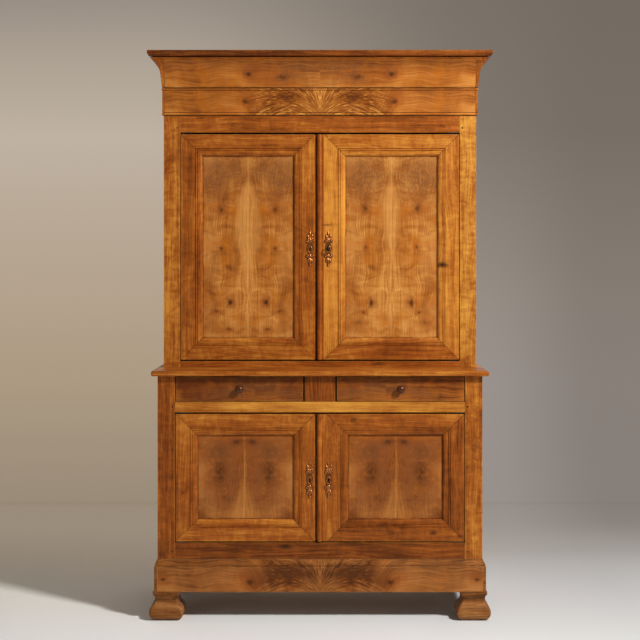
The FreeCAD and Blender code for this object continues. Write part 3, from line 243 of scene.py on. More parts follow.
class Piece:
    """One piece of the cabinet: its members are built in one bmesh, then made an object."""

    def __init__(self, name: str) -> None:
        """Start an empty piece.

        Args:
            name: the name that the object will have.
        """
        self.name = name
        self.bm = bmesh.new()
        layers = self.bm.verts.layers
        self.section = layers.float_vector.new("section")
        self.log = layers.float_vector.new("log")
        self.place = layers.float_vector.new("place")
        self.half = layers.float_vector.new("half")
        self.stock = layers.float_vector.new("stock")
        self.ends = layers.float_vector.new("ends")
        self.done = layers.int.new("done")

    def fresh(self) -> list[BMVert]:
        """Return the vertices added since the last member was seasoned."""
        return [v for v in self.bm.verts if not v[self.done]]

    def season(self, stock: Stock, cuts: Optional[Sequence[tuple[Vector, Vector]]] = None,
               creases_grimed_and_shaded: bool = True) -> None:
        """Write the timber's own coordinates on every new vertex.

        Args:
            stock: the timber that the member is cut from.
            cuts: a point and the normal of the plane at each end of the member.
            creases_grimed_and_shaded: its long inner corners gather grime and get painted shade.
        """
        verts = self.fresh()
        low = Vector(min(v.co[i] for v in verts) for i in range(3))
        high = Vector(max(v.co[i] for v in verts) for i in range(3))
        middle, half = (low + high) / 2, (high - low) / 2
        along, across, deep = stock.grain.value
        if cuts is None:
            way = Vector([float(i == along) for i in range(3)])
            cuts = ((low, way), (high, way))
        for v in verts:
            local = v.co - middle
            v[self.log] = (local[along] + stock.seed * 3.71, local[across] + stock.seed * 1.37,
                           local[deep] + stock.seed * 0.53)
            v[self.place] = local
            v[self.half] = half
            v[self.stock] = (stock.tone, stock.curl, stock.red)
            # long inner corners gather grime and get painted shade: the third number of ends marks them
            crease_grime_and_shade = creases_grimed_and_shaded and any(e.calc_face_angle_signed(0.0) < -0.35
                                   and e.calc_length() > 0.03 for e in v.link_edges)
            v[self.ends] = (abs((v.co - cuts[0][0]).dot(cuts[0][1])),
                            abs((v.co - cuts[-1][0]).dot(cuts[-1][1])), float(crease_grime_and_shade))
            v[self.done] = 1

    def ease(self, edges: list[BMEdge], width: float, segments: int = 2) -> None:
        """Round the given arrises.

        Args:
            edges: the edges to round.
            width: how far the rounding reaches from each edge.
            segments: facets of the rounding.
        """
        bmesh.ops.bevel(self.bm, geom=edges, offset=width, offset_type="OFFSET",
                        segments=segments, profile=0.5, affect="EDGES", clamp_overlap=True, material=-1)

    def board(self, low: Sequence[float], high: Sequence[float], stock: Stock,
              arris: float = 0.0012) -> None:
        """Add a plain board with eased arrises.

        Args:
            low: lowest corner.
            high: highest corner.
            stock: the timber that it is cut from.
            arris: width of the rounding of its edges.
        """
        low, high = Vector(low), Vector(high)
        made = bmesh.ops.create_cube(self.bm, size=1.0)
        bmesh.ops.scale(self.bm, vec=high - low, verts=made["verts"])
        bmesh.ops.translate(self.bm, vec=(low + high) / 2, verts=made["verts"])
        self.ease(edges_at(made["verts"]), arris)
        self.season(stock)

    def sweep(self, outline: Outline, stations: Sequence[Station], stock: Stock,
              arris: float = 0.0006, cut: bool = True) -> None:
        """Add a moulded length that runs through its stations.

        Args:
            outline: the section.
            stations: places of the section, the first and last being the ends.
            stock: the timber that it is cut from.
            arris: width of the rounding of its sharp edges, or 0 for none.
            cut: its ends are cut where the first and last stations are.
        """
        self.run(outline, stations)
        self.soften(arris)
        self.season(stock, [stations[0].plane(), stations[-1].plane()] if cut else None)

    def run(self, outline: Outline, stations: Sequence[Station]) -> None:
        """Extrude a section through its stations and close both ends.

        Args:
            outline: the section.
            stations: places of the section.
        """
        chain = outline.trace(self.bm)
        self.bm.edges.new((chain[-1], chain[0]))
        face = bmesh.ops.edgeloop_fill(self.bm, edges=edges_at(chain))["faces"][0]
        for v in chain:
            v[self.section] = v.co
            v.co = stations[0].at(v[self.section])
        for station in stations[1:]:
            made = bmesh.ops.extrude_face_region(self.bm, geom=[face, *face.edges])["geom"]
            face = next(g for g in made if isinstance(g, BMFace))
            for v in (g for g in made if isinstance(g, BMVert)):
                v.co = station.at(v[self.section])
        bmesh.ops.remove_doubles(self.bm, verts=self.fresh(), dist=1e-6)
        self.face_out()

    def face_out(self) -> None:
        """Turn the faces of the new member outwards."""
        bmesh.ops.recalc_face_normals(self.bm, faces=faces_at(self.fresh()))

    def soften(self, arris: float, angle: float = 35.0) -> None:
        """Round the sharp outer edges of the new member.

        Args:
            arris: width of the rounding, or 0 for none.
            angle: edges that turn by less than this, in degrees, stay as they are.
        """
        if not arris:
            return
        sharp = [e for e in edges_at(self.fresh())
                 if len(e.link_faces) == 2 and e.calc_face_angle_signed(0.0) > math.radians(angle)]
        self.ease(sharp, arris)

    def stack(self, outline: Outline, low: Sequence[float], high: Sequence[float],
              flat_back: bool, corner: float, stock: Stock) -> None:
        """Add a shape whose plan grows and shrinks as it rises.

        Args:
            outline: how far the plan stands out at each height.
            low: lowest corner of the plan that the outline stands out from.
            high: highest corner of that plan.
            flat_back: the rear side stays where it is.
            corner: rounding of the upright corners.
            stock: the timber that it is cut from.
        """
        plate = bmesh.ops.create_grid(self.bm, x_segments=1, y_segments=1, size=1.0)
        face = plate["verts"][0].link_faces[0]
        for v in plate["verts"]:
            v[self.section] = v.co
        levels = outline.points()
        for number, (out, up) in enumerate(levels):
            verts = list(face.verts)
            if number:
                made = bmesh.ops.extrude_face_region(self.bm, geom=[face, *face.edges])["geom"]
                face = next(g for g in made if isinstance(g, BMFace))
                verts = [g for g in made if isinstance(g, BMVert)]
            for v in verts:
                side = v[self.section]
                rear = high[1] if flat_back else high[1] + out
                v.co = (high[0] + out if side.x > 0 else low[0] - out,
                        rear if side.y > 0 else low[1] - out, low[2] + up)
        self.face_out()
        upright = [e for e in edges_at(self.fresh())
                   if (e.verts[0][self.section] - e.verts[1][self.section]).length < 0.5]
        self.ease(upright, corner, 3)
        # its ends don't show, so the planes that darken its joints lie a metre away
        away = [(Vector(low) - X_WAY, X_WAY), (Vector(high) + X_WAY, X_WAY)]
        self.season(stock, away, False)

    def pierce(self, hole: Outline, middle: Vector, depth: float, through: bool) -> None:
        """Cut a keyhole into the flat front of the new member.

        Args:
            hole: outline of the keyhole, across and up from its middle.
            middle: the keyhole's middle on the front.
            depth: how deep the hole goes.
            through: the hole comes out of the flat back.
        """
        faces = faces_at(self.fresh())
        front = max((f for f in faces if f.normal.y < -0.99), key=BMFace.calc_area)
        back = max((f for f in faces if f.normal.y > 0.99), key=BMFace.calc_area)
        chain = hole.trace(self.bm)
        self.bm.edges.new((chain[-1], chain[0]))
        ring = edges_at(chain)
        for v in chain:
            v.co = middle + Vector((v.co.x, 0.0, v.co.y))
        rim = list(front.edges)
        bmesh.ops.delete(self.bm, geom=[front], context="FACES_ONLY")
        made = bmesh.ops.extrude_edge_only(self.bm, edges=ring)["geom"]
        bmesh.ops.triangle_fill(self.bm, use_beauty=True, edges=rim + ring)
        inner = [g for g in made if isinstance(g, BMEdge)]
        bmesh.ops.translate(self.bm, vec=Y_WAY * depth,
                            verts=[g for g in made if isinstance(g, BMVert)])
        if through:
            rim = list(back.edges)
            bmesh.ops.delete(self.bm, geom=[back], context="FACES_ONLY")
            bmesh.ops.triangle_fill(self.bm, use_beauty=True, edges=rim + inner)
        else:
            bmesh.ops.edgeloop_fill(self.bm, edges=inner)
        self.face_out()

    def lathe(self, outline: Outline, origin: Vector, axis: Vector, out: Vector,
              steps: int = 32, closed: bool = False) -> list[BMVert]:
        """Spin a section about an axis.

        Args:
            outline: radius and height of the section.
            origin: foot of the axis.
            axis: direction of the height.
            out: direction in which the section is drawn.
            steps: facets round the axis.
            closed: the section is a ring of its own that doesn't start and end on the axis.

        Returns:
            The new vertices.
        """
        before = set(self.bm.verts)
        chain = outline.trace(self.bm)
        station = Station(origin, out, axis)
        for v in chain:
            v.co = station.at(v.co.copy())
        if closed:
            self.bm.edges.new((chain[-1], chain[0]))
        bmesh.ops.spin(self.bm, geom=chain + edges_at(chain), cent=origin, axis=axis,
                       angle=math.tau, steps=steps, use_merge=True, use_duplicate=False)
        bmesh.ops.remove_doubles(self.bm, verts=[v for v in self.bm.verts if v not in before],
                                 dist=1e-6)
        return [v for v in self.bm.verts if v not in before]

    def turned(self, outline: Outline, origin: Vector, axis: Vector, out: Vector, stock: Stock,
               steps: int = 32) -> None:
        """Add a shape turned on a lathe.

        Args:
            outline: radius and height of the section, which starts and ends on the axis.
            origin: foot of the axis.
            axis: direction of the height.
            out: direction in which the section is drawn.
            stock: the timber or metal.
            steps: facets round the axis.
        """
        self.lathe(outline, origin, axis, out, steps)
        self.face_out()
        self.season(stock)

    def boss(self, outline: Outline, origin: Vector, tall: float, wide: float, lean: float,
             stock: Stock, closed: bool = False) -> None:
        """Add a raised form to a flat front: a turned one that is drawn out and leant over.

        Args:
            outline: radius and height of its section before that.
            origin: its middle on the front.
            tall: how much taller it is made.
            wide: how much wider it is made.
            lean: how far its head leans to the right, in degrees.
            stock: the timber or metal.
            closed: it is a ring.
        """
        verts = self.lathe(outline, origin, -Y_WAY, X_WAY, 20, closed)
        bmesh.ops.scale(self.bm, vec=(wide, 1.0, tall), verts=verts, space=Matrix.Translation(-origin))
        bmesh.ops.rotate(self.bm, cent=origin, verts=verts,
                         matrix=Matrix.Rotation(math.radians(lean), 3, "Y"))
        self.face_out()
        self.season(stock)

    def finish(self, body: str, nodes: Sequence[str], look: Finish,
               slot: Optional[Slot] = None) -> bpy.types.Object:
        """Make the object, dress it and let it ride.

        Args:
            body: the body that it moves with.
            nodes: the nodes that it stands for.
            look: its finish.
            slot: the record's material slot, if it isn't the finish's own; not used.

        Returns:
            The finished object.
        """
        layers = self.bm.verts.layers
        layers.float_vector.remove(layers.float_vector["section"])
        layers.int.remove(layers.int["done"])
        mesh = bpy.data.meshes.new(self.name)
        self.bm.to_mesh(mesh)
        self.bm.free()
        mesh.shade_smooth()
        mesh.set_sharp_from_angle(angle=math.radians(32))
        mesh.materials.append(look.made())
        made = bpy.data.objects.new(self.name, mesh)
        bpy.context.scene.collection.objects.link(made)
        even = made.modifiers.new("even_shading", "WEIGHTED_NORMAL")
        even.keep_sharp = True
        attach(made, body)
        if nodes:
            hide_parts(*nodes)
        slot = slot or look.slot
        LOG.info("%s rides on %s with %d faces", self.name, body, len(mesh.polygons))
        return made


def linear(code: str) -> tuple[float, float, float, float]:
    """Turn an sRGB hex colour to linear.

    Args:
        code: the colour, such as "#a0622c".

    Returns:
        Linear red, green and blue with an alpha of 1.
    """
    parts = [int(code[i:i + 2], 16) / 255 for i in (1, 3, 5)]
    rgb = [c / 12.92 if c <= 0.04045 else ((c + 0.055) / 1.055) ** 2.4 for c in parts]
    return (rgb[0], rgb[1], rgb[2], 1.0)


class Recipe:
    """Node tree of one finish."""

    def __init__(self, name: str) -> None:
        """Start an empty material.

        Args:
            name: the finish's name.
        """
        self.material = bpy.data.materials.new(name)
        self.material.use_nodes = True
        self.tree = self.material.node_tree
        self.tree.nodes.clear()

    def add(self, kind: str, settings: Union[dict, str, None] = None,
            links: Union[dict, Sequence] = ()) -> Node:
        """Add one node.

        Args:
            kind: the node's type without its prefix.
            settings: its properties; a list of (place, colour) for "ramp" fills a colour ramp,
                and a word alone is its operation or the like.
            links: what its inputs get, in order or by name or number: each a value, a colour
                such as "#a0622c", a socket, or a node for that node's first output.

        Returns:
            The new node.
        """
        node = self.tree.nodes.new("ShaderNode" + kind)
        if isinstance(settings, str):
            settings = {CHOICES[kind]: settings}
        for key, value in (settings or {}).items():
            if key == "ramp":
                band = node.color_ramp
                while len(band.elements) < len(value):
                    band.elements.new(0.5)
                for element, (place, colour) in zip(band.elements, value):
                    element.position = place
                    element.color = linear(colour) if isinstance(colour, str) else colour
            else:
                setattr(node, key, value)
        for key, value in links.items() if isinstance(links, dict) else enumerate(links):
            if isinstance(value, Node):
                value = value.outputs[0]
            elif isinstance(value, str):
                value = linear(value)
            if isinstance(value, NodeSocket):
                self.tree.links.new(value, node.inputs[key])
            else:
                node.inputs[key].default_value = value
        return node


def grey(value: float) -> tuple[float, float, float, float]:
    """Return a grey for a ramp that carries a number."""
    return (value, value, value, 1.0)


@dataclass(frozen=True)
class Spot:
    """Knot or patch of a figured board.

    Args:
        x: distance from the seam of the matched halves.
        z: height above the board's middle.
        rx: half width.
        rz: half height.
        dark: how dark its heart is.
        pull: how strongly the fibres bend round it.
        smoke: how grey its surroundings are.
        swirl: strength of the rings that the fibres make round it.
    """

    x: float
    z: float
    rx: float
    rz: float
    dark: float = 0.6
    pull: float = 0.8
    smoke: float = 0.0
    swirl: float = 0.0


@dataclass(frozen=True)
class Figure:
    """Figure of a board that is matched about an upright seam.

    Args:
        x: the seam.
        z: the board's middle.
        reach: half height of the flame.
        flame: half width of the pale flame by height, from 0 at its foot to 1 at its head.
        spots: knots and patches.
        level: the fibres run level instead of upright.
        burr: half width and half height of the fan of burr at the seam, or none.
        pale: how pale the flame is.
        pale_margin_and_sheen: how pale the margin and the foot are, partly the wood's own paleness and
            partly a painted sheen.
        amber: how strong the amber patches are.
    """

    x: float
    z: float
    reach: float
    flame: tuple[tuple[float, float], ...] = ()
    spots: tuple[Spot, ...] = ()
    level: bool = False
    burr: Optional[tuple[float, float]] = None
    pale: float = 0.62
    pale_margin_and_sheen: float = 0.5
    amber: float = 0.7


@dataclass(frozen=True)
class Timber(Finish):
    """Fruitwood that was planed, stained by age and waxed to a satin.

    Args:
        deep: colour of the darkest fibres.
        body: the main colour.
        light: colour of the pale fibres.
        grime_and_shade: colour of the grime in joints and corners, and of the painted shade in corners,
            framed margins, board edges and hollows.
        smoke: colour of the smoky patches.
        ring: distance between growth rings, in metres.
        roughness: of the surface under the wax.
        wax: weight of the wax coat.
        contrast: how strongly the fibres differ.
        ripple: ripples to a metre along, across and into the board.
        rebate: width of the margin that is hidden in a frame; a band of painted shade lies just inside
            it.
        burr_dark: how much dark feather a burr has.
        burr_gold: how much gold feather a burr has.
        figure: the matched figure, if it has one.
        knots: knots of its plain members: x, y, z, half width, half height and how dark.
        neck: height above the floor of the necks that get painted shade and grime, if there are any;
            the foot's lowest edge gets them too.
    """

    deep: str
    body: str
    light: str
    grime_and_shade: str = "#220c03"
    smoke: str = "#784a29"
    ring: float = 0.0085
    roughness: float = 0.4
    wax: float = 0.04
    contrast: float = 1.0
    ripple: tuple[float, float, float] = (44.0, 24.0, 24.0)
    rebate: float = 0.0
    burr_dark: float = 0.8
    burr_gold: float = 0.5
    figure: Optional[Figure] = None
    knots: tuple[tuple[float, ...], ...] = ()
    neck: float = 0.0

    def material(self) -> bpy.types.Material:
        """Build the finish.

        Returns:
            The finished material.
        """
        mix = Recipe(self.name)
        stock = mix.add("Attribute", "stock").outputs["Vector"]
        tone, curl, red = mix.add("SeparateXYZ", None, [stock]).outputs
        if self.figure is None:
            way = self.straight(mix)
            marks, swirl = self.knotty(mix)
        else:
            way, marks, swirl = self.matched(mix)
        layers = {}
        # drifts 0.6 m long, fibres 3 mm wide, strands 8 mm, streaks 20 mm, clouds 120 mm,
        # ripples 23 mm apart, specks 1 mm
        for name, scale, detail, rough, twist in (
                ("drift", (1.6, 3.2, 3.2), 1.0, 0.5, 0.0),
                ("fibre", (6.0, 360.0, 360.0), 3.0, 0.65, 0.0),
                ("strand", (7.0, 135.0, 135.0), 2.0, 0.6, 0.15),
                ("streak", (2.2, 58.0, 58.0), 3.0, 0.6, 0.2),
                ("cloud", (4.5, 10.0, 10.0), 2.0, 0.5, 0.2),
                ("ripple", self.ripple, 2.5, 0.5, 0.7),
                ("speck", (110.0, 1500.0, 1500.0), 1.5, 0.6, 0.0)):
            laid = mix.add("Mapping", None, {0: way, 3: scale})
            noise = mix.add("TexNoise", None, {"Vector": laid, "Scale": 1.0, "Detail": detail,
                                               "Roughness": rough, "Distortion": twist})
            layers[name] = mix.add("Math", "SUBTRACT", [noise, 0.5])
        layers["ripple"] = mix.add("Math", "MULTIPLY", [layers["ripple"], curl])
        value = self.rings(mix, way)
        fine, streaky, cloudy = (0.5, 0.7, 0.62) if self.figure is None else (0.3, 0.45, 0.85)
        for name, weight in (("drift", 0.55), ("fibre", 0.75), ("strand", fine), ("streak", streaky),
                             ("cloud", cloudy), ("ripple", 0.85), ("speck", 0.4)):
            value = mix.add("Math", "MULTIPLY_ADD", [layers[name], weight * self.contrast, value])
        pores = mix.add("MapRange", None, [layers["speck"], 0.06, 0.16, 0.0, -0.14 * self.contrast])
        value = mix.add("Math", "ADD", [value, pores])
        value = mix.add("Math", "MULTIPLY_ADD", [tone, 0.42, value])
        if swirl is not None:
            value = mix.add("Math", "ADD", [value, swirl])
        colour = mix.add("ValToRGB", {"ramp": [
            (0.05, self.deep), (0.5, self.body), (0.98, self.light)]},
            [value])
        warm = mix.add("Math", "MULTIPLY", [red, 0.6])
        colour = mix.add("MixRGB", "MULTIPLY", [warm, colour, "#ffb780"])
        if marks is not None:
            for factor, tint in marks:
                colour = mix.add("MixRGB", None, [factor, colour, tint])
        colour = self.wear(mix, colour)
        relief = mix.add("Math", "MULTIPLY_ADD", [layers["ripple"], 1.2, layers["fibre"]])
        relief = mix.add("Math", "MULTIPLY_ADD", [pores, 3.0, relief])
        bump = mix.add("Bump", None, {"Strength": 0.3, "Distance": 0.0006, "Height": relief})
        gloss = mix.add("MapRange", None, [layers["cloud"], -0.3, 0.3,
                                           self.roughness - 0.08, self.roughness + 0.1])
        shader = mix.add("BsdfPrincipled", None, {
            "Base Color": colour, "Roughness": gloss, "IOR": 1.48, "Normal": bump,
            "Specular IOR Level": 0.3, "Specular Tint": "#ffd8a6",
            "Coat Weight": self.wax, "Coat Roughness": 0.26, "Coat IOR": 1.4})
        mix.add("OutputMaterial", None, [shader])
        return mix.material

    def straight(self, mix: Recipe) -> Node:
        """Fibres that run the length of the board and wander a little.

        Args:
            mix: the finish being built.

        Returns:
            The node with the coordinates along, across and into the board.
        """
        log = mix.add("Attribute", "log").outputs["Vector"]
        slow = mix.add("Mapping", None, {0: log, 3: (1.7, 6.0, 6.0)})
        drift = mix.add("TexNoise", None, {"Vector": slow, "Scale": 1.0, "Detail": 2.0})
        away = mix.add("VectorMath", "SUBTRACT", [drift.outputs["Color"], (0.5, 0.5, 0.5)])
        return mix.add("VectorMath", "MULTIPLY_ADD", [away, (0.0, 0.07, 0.07), log])

    def knotty(self, mix: Recipe) -> tuple[list, Optional[Node]]:
        """Small knots of the plain members, with the fibres ringed round them.

        Args:
            mix: the finish being built.

        Returns:
            Pairs of a node and a colour, and the node with the rings.
        """
        if not self.knots:
            return [], None
        here = mix.add("TexCoord").outputs["Object"]
        warp = mix.add("TexNoise", None, {"Vector": here, "Scale": 30.0, "Detail": 3.0})
        off = mix.add("VectorMath", "SUBTRACT", [warp.outputs["Color"], (0.5, 0.5, 0.5)])
        loose = mix.add("VectorMath", "MULTIPLY_ADD", [off, (0.014, 0.0, 0.014), here])
        heart = halo = swirl = None
        for x, y, z, wide, tall, dark in self.knots:
            away = mix.add("VectorMath", "SUBTRACT", [loose, (x, y, z)])
            scaled = mix.add("VectorMath", "MULTIPLY", [away, (1 / wide, 30.0, 1 / tall)])
            square = mix.add("VectorMath", "DOT_PRODUCT", [scaled, scaled])
            fall = mix.add("Math", "MULTIPLY", [square.outputs["Value"], -0.35])
            near = mix.add("Math", "EXPONENT", [fall])
            deep = mix.add("Math", "POWER", [near, 3.5])
            heart = mix.add("Math", "MULTIPLY_ADD", [deep, dark, heart or 0.0])
            halo = mix.add("Math", "MULTIPLY_ADD", [near, dark * 0.6, halo or 0.0])
            far = mix.add("Math", "SQRT", [square.outputs["Value"]])
            wave = mix.add("Math", "SINE", [mix.add("Math", "MULTIPLY", [far, 5.0])])
            wave = mix.add("Math", "MULTIPLY", [wave, near])
            swirl = mix.add("Math", "MULTIPLY_ADD", [wave, 0.14, swirl or 0.0])
        return [(halo, "#7c3c0e"), (heart, "#33180a")], swirl

    def rings(self, mix: Recipe, way: Node) -> Node:
        """Growth rings about a heart that lies under the face.

        Args:
            mix: the finish being built.
            way: the coordinates along, across and into the board.

        Returns:
            The node that gives the ring value, about 0.5.
        """
        heart = mix.add("VectorMath", "MULTIPLY_ADD", [way, (0.04, 1.0, 1.0), (0.0, 0.012, 0.05)])
        radius = mix.add("VectorMath", "LENGTH", [heart])
        count = mix.add("Math", "DIVIDE", [radius.outputs["Value"], self.ring])
        step = mix.add("Math", "FRACT", [count])
        late = mix.add("Math", "POWER", [step, 3.0])
        depth = (0.06 if self.figure is None else 0.13) * self.contrast
        return mix.add("Math", "MULTIPLY_ADD", [late, -depth, 0.53])

    def matched(self, mix: Recipe) -> tuple[Node, list, Optional[Node]]:
        """Flame, burr, smoke and knots of two matched halves.

        Args:
            mix: the finish being built.

        Returns:
            The node with the bent coordinates, pairs of a node and a colour for how much of that
            colour there is, and the node with the rings round the knots.
        """
        figure = self.figure
        here = mix.add("TexCoord").outputs["Object"]
        local = mix.add("VectorMath", "SUBTRACT", [here, (figure.x, 0.0, figure.z)])
        whole = mix.add("SeparateXYZ", None, [local])
        sided = mix.add("Math", "SIGN", [whole.outputs[0]])
        fold = mix.add("Math", "ABSOLUTE", [whole.outputs[0]])
        flat = mix.add("CombineXYZ", None, {0: fold, 2: whole.outputs[2]})
        warp = mix.add("TexNoise", None, {"Vector": flat, "Scale": 8.0, "Detail": 1.6,
                                          "Roughness": 0.45})
        warp_off = mix.add("VectorMath", "SUBTRACT", [warp.outputs["Color"], (0.5, 0.5, 0.5)])
        folded = mix.add("VectorMath", "MULTIPLY_ADD", [warp_off, (0.05, 0.0, 0.05), flat])
        bent = mix.add("SeparateXYZ", None, [folded])
        along, across = bent.outputs[2], bent.outputs[0]
        if figure.level:
            along, across = across, along
        smoke = heart = halo = swirl = glow = None
        for spot in figure.spots:
            away = mix.add("VectorMath", "SUBTRACT", [folded, (spot.x, 0.0, spot.z)])
            scaled = mix.add("VectorMath", "MULTIPLY", [away, (1 / spot.rx, 0.0, 1 / spot.rz)])
            square = mix.add("VectorMath", "DOT_PRODUCT", [scaled, scaled])
            fall = mix.add("Math", "MULTIPLY", [square.outputs["Value"], -0.3])
            near = mix.add("Math", "EXPONENT", [fall])
            ways = mix.add("SeparateXYZ", None, [away])
            toward = mix.add("Math", "MULTIPLY", [ways.outputs[2 if figure.level else 0], near])
            across = mix.add("Math", "MULTIPLY_ADD", [toward, -spot.pull, across]).outputs[0]
            if spot.dark:
                deep = mix.add("Math", "POWER", [near, 4.5])
                heart = mix.add("Math", "MULTIPLY_ADD", [deep, spot.dark, heart or 0.0])
                ring = mix.add("Math", "POWER", [near, 0.4])
                halo = mix.add("Math", "MULTIPLY_ADD", [ring, spot.dark * 0.75, halo or 0.0])
            if spot.swirl:
                far = mix.add("Math", "SQRT", [square.outputs["Value"]])
                pace = math.tau * (spot.rx + spot.rz) / 2 / SWIRL_RING
                turn = mix.add("Math", "MULTIPLY", [far, pace])
                wave = mix.add("Math", "SINE", [turn])
                wave = mix.add("Math", "MULTIPLY", [wave, near])
                swirl = mix.add("Math", "MULTIPLY_ADD", [wave, spot.swirl * 0.10, swirl or 0.0])
            haze = spot.smoke or spot.dark * 0.2
            smoke = mix.add("Math", "MULTIPLY_ADD", [near, haze, smoke or 0.0])
        rays: list = []
        if figure.burr:
            wide, high = figure.burr
            fan = mix.add("VectorMath", "ADD", [folded, (0.0, 0.0, high)])
            root = mix.add("SeparateXYZ", None, [fan])
            turn = mix.add("Math", "ARCTAN2", [root.outputs[2], root.outputs[0]])
            reach = mix.add("VectorMath", "LENGTH", [fan]).outputs["Value"]
            inside = mix.add("MapRange", "SMOOTHSTEP", [bent.outputs[0], wide, wide * 0.6, 0.0, 1.0])
            swept = mix.add("Math", "MULTIPLY_ADD", [reach, 2.4, turn])
            ray = mix.add("Math", "MULTIPLY", [swept, 0.16])
            across = mix.add("Mix", "FLOAT", {0: inside, 2: across, 3: ray}).outputs[0]
            along = mix.add("Mix", "FLOAT", {0: inside, 2: along, 3: reach}).outputs[0]
            spread = mix.add("CombineXYZ", None, [reach, ray])
            laid = mix.add("Mapping", None, {0: spread, 3: (20.0, 125.0, 1.0)})
            feather = mix.add("TexNoise", None, {"Vector": laid, "Scale": 1.0, "Detail": 4.0,
                                                 "Roughness": 0.66, "Distortion": 1.3})
            shade = mix.add("Math", "MULTIPLY_ADD", [smoke or 0.0, 0.2, feather])
            for low, high, most, tint in ((0.52, 0.66, self.burr_dark, "#4a220b"),
                                          (0.5, 0.36, self.burr_gold, "#e0a04a")):
                patch = mix.add("MapRange", None, [shade, low, high, 0.0, most])
                rays.append((mix.add("Math", "MULTIPLY", [patch, inside]), tint))
        if figure.flame:
            height = mix.add("MapRange", None, [whole.outputs[2], -figure.reach, figure.reach])
            width = mix.add("ValToRGB", {"ramp": [(at, grey(w * 10)) for at, w in figure.flame]},
                            [height])
            edge = mix.add("Math", "MULTIPLY_ADD", [width, -0.1, bent.outputs[0]])
            glow = mix.add("MapRange", "SMOOTHSTEP", [edge, 0.010, -0.026, 0.0, figure.pale])
            silk = mix.add("TexNoise", None, {
                "Vector": mix.add("Mapping", None, {0: local, 3: (190.0, 1.0, 5.0)}),
                "Scale": 1.0, "Detail": 3.0, "Roughness": 0.6})
            silky = mix.add("MapRange", None, [silk, 0.25, 0.7, 0.35, 1.15])
            silky = mix.add("Math", "MULTIPLY_ADD", [sided, -0.13, silky])
            glow = mix.add("Math", "MULTIPLY", [glow, silky])
            seam = mix.add("MapRange", "SMOOTHSTEP", [fold, 0.0032, 0.0005, 0.0, 0.3])
            glow = mix.add("Math", "ADD", [glow, seam])
            # pale margin and foot: partly the wood's own paleness, partly a painted sheen
            bloom = mix.add("TexNoise", None, {"Vector": folded, "Scale": 7.0, "Detail": 2.0})
            margin = mix.add("MapRange", "SMOOTHSTEP", [fold, 0.075, 0.175, 0.0, 1.0])
            low = mix.add("MapRange", "SMOOTHSTEP", [whole.outputs[2], -figure.reach * 0.5,
                                                     -figure.reach, 0.0, 0.8])
            pale = mix.add("MapRange", None, [bloom, 0.38, 0.66])
            pale_margin_and_sheen = mix.add("Math", "MULTIPLY", [mix.add("Math", "MAXIMUM", [margin, low]), pale])
            pale_margin_and_sheen = mix.add("Math", "MULTIPLY", [pale_margin_and_sheen, figure.pale_margin_and_sheen])
        shift = mix.add("Math", "MULTIPLY", [sided, 0.006])
        way = mix.add("CombineXYZ", None, [along, across, shift])
        mottle = mix.add("TexNoise", None, {"Vector": folded, "Scale": 60.0, "Detail": 4.0})
        rough = mix.add("MapRange", None, [mottle, 0.3, 0.7, 0.5, 1.5])
        gold = mix.add("TexNoise", None, {"Vector": folded, "Scale": 17.0, "Detail": 3.0,
                                          "Roughness": 0.6, "Distortion": 0.6})
        amber = mix.add("MapRange", None, [gold, 0.5, 0.74, 0.0, figure.amber])
        marks = [(amber, "#b8640f")]
        if glow is not None:
            # the pale margin with its painted sheen
            marks.append((pale_margin_and_sheen, "#c08246"))
            marks.append((glow, "#d2934c"))
        for factor, tint in ((halo, "#8f4410"), (smoke, self.smoke), (heart, "#42200c")):
            if factor is not None and not (figure.burr and factor is smoke):
                marks.append((mix.add("Math", {"operation": "MULTIPLY", "use_clamp": True},
                                      [factor, rough]), tint))
        marks.extend(rays)
        return way, marks, swirl

    def wear(self, mix: Recipe, colour: Node) -> Node:
        """Darken joints with grime, and inner corners with grime and painted shade; where set, paint
        shade along a framed margin, along a level figured board's top and bottom edges and at a foot's
        neck and lowest edge; rub the arrises paler.

        Args:
            mix: the finish being built.
            colour: the clean colour.

        Returns:
            The node that gives the worn colour.
        """
        place = mix.add("Attribute", "place").outputs["Vector"]
        half = mix.add("Attribute", "half").outputs["Vector"]
        ends = mix.add("Attribute", "ends").outputs["Vector"]
        size = mix.add("VectorMath", "ABSOLUTE", [place])
        inside = mix.add("SeparateXYZ", None, [mix.add("VectorMath", "SUBTRACT", [half, size])])
        a, b, c = inside.outputs
        low = mix.add("Math", "MINIMUM", [a, b])
        high = mix.add("Math", "MAXIMUM", [a, b])
        rest = mix.add("Math", "MINIMUM", [high, c])
        edge = mix.add("Math", "MAXIMUM", [low, rest])
        tips = mix.add("SeparateXYZ", None, [ends])
        tip = mix.add("Math", "MINIMUM", [tips.outputs[0], tips.outputs[1]])
        here = mix.add("TexCoord").outputs["Object"]
        rub = mix.add("TexNoise", None, {"Vector": here, "Scale": 38.0, "Detail": 4.0})
        patchy = mix.add("MapRange", None, [rub, 0.35, 0.65, 0.25, 1.0])
        seam = mix.add("MapRange", "SMOOTHSTEP", [tip, 0.0003, 0.0019, 0.85, 0.0])
        # grime and painted shade in the long inner corners
        crease_grime_and_shade = mix.add("Math", "MULTIPLY", [tips.outputs[2], 0.85])
        grime_and_shade_mask = mix.add("Math", "MAXIMUM", [seam, crease_grime_and_shade])
        # painted shade along the panel's margin just inside the frame, where the frame's shadow falls
        if self.rebate:
            near = mix.add("Math", "MINIMUM", [a, c])
            corner = mix.add("MapRange", "SMOOTHSTEP",
                             [near, self.rebate, self.rebate + 0.006, 0.9, 0.0])
            grime_and_shade_mask = mix.add("Math", "MAXIMUM", [grime_and_shade_mask, corner])
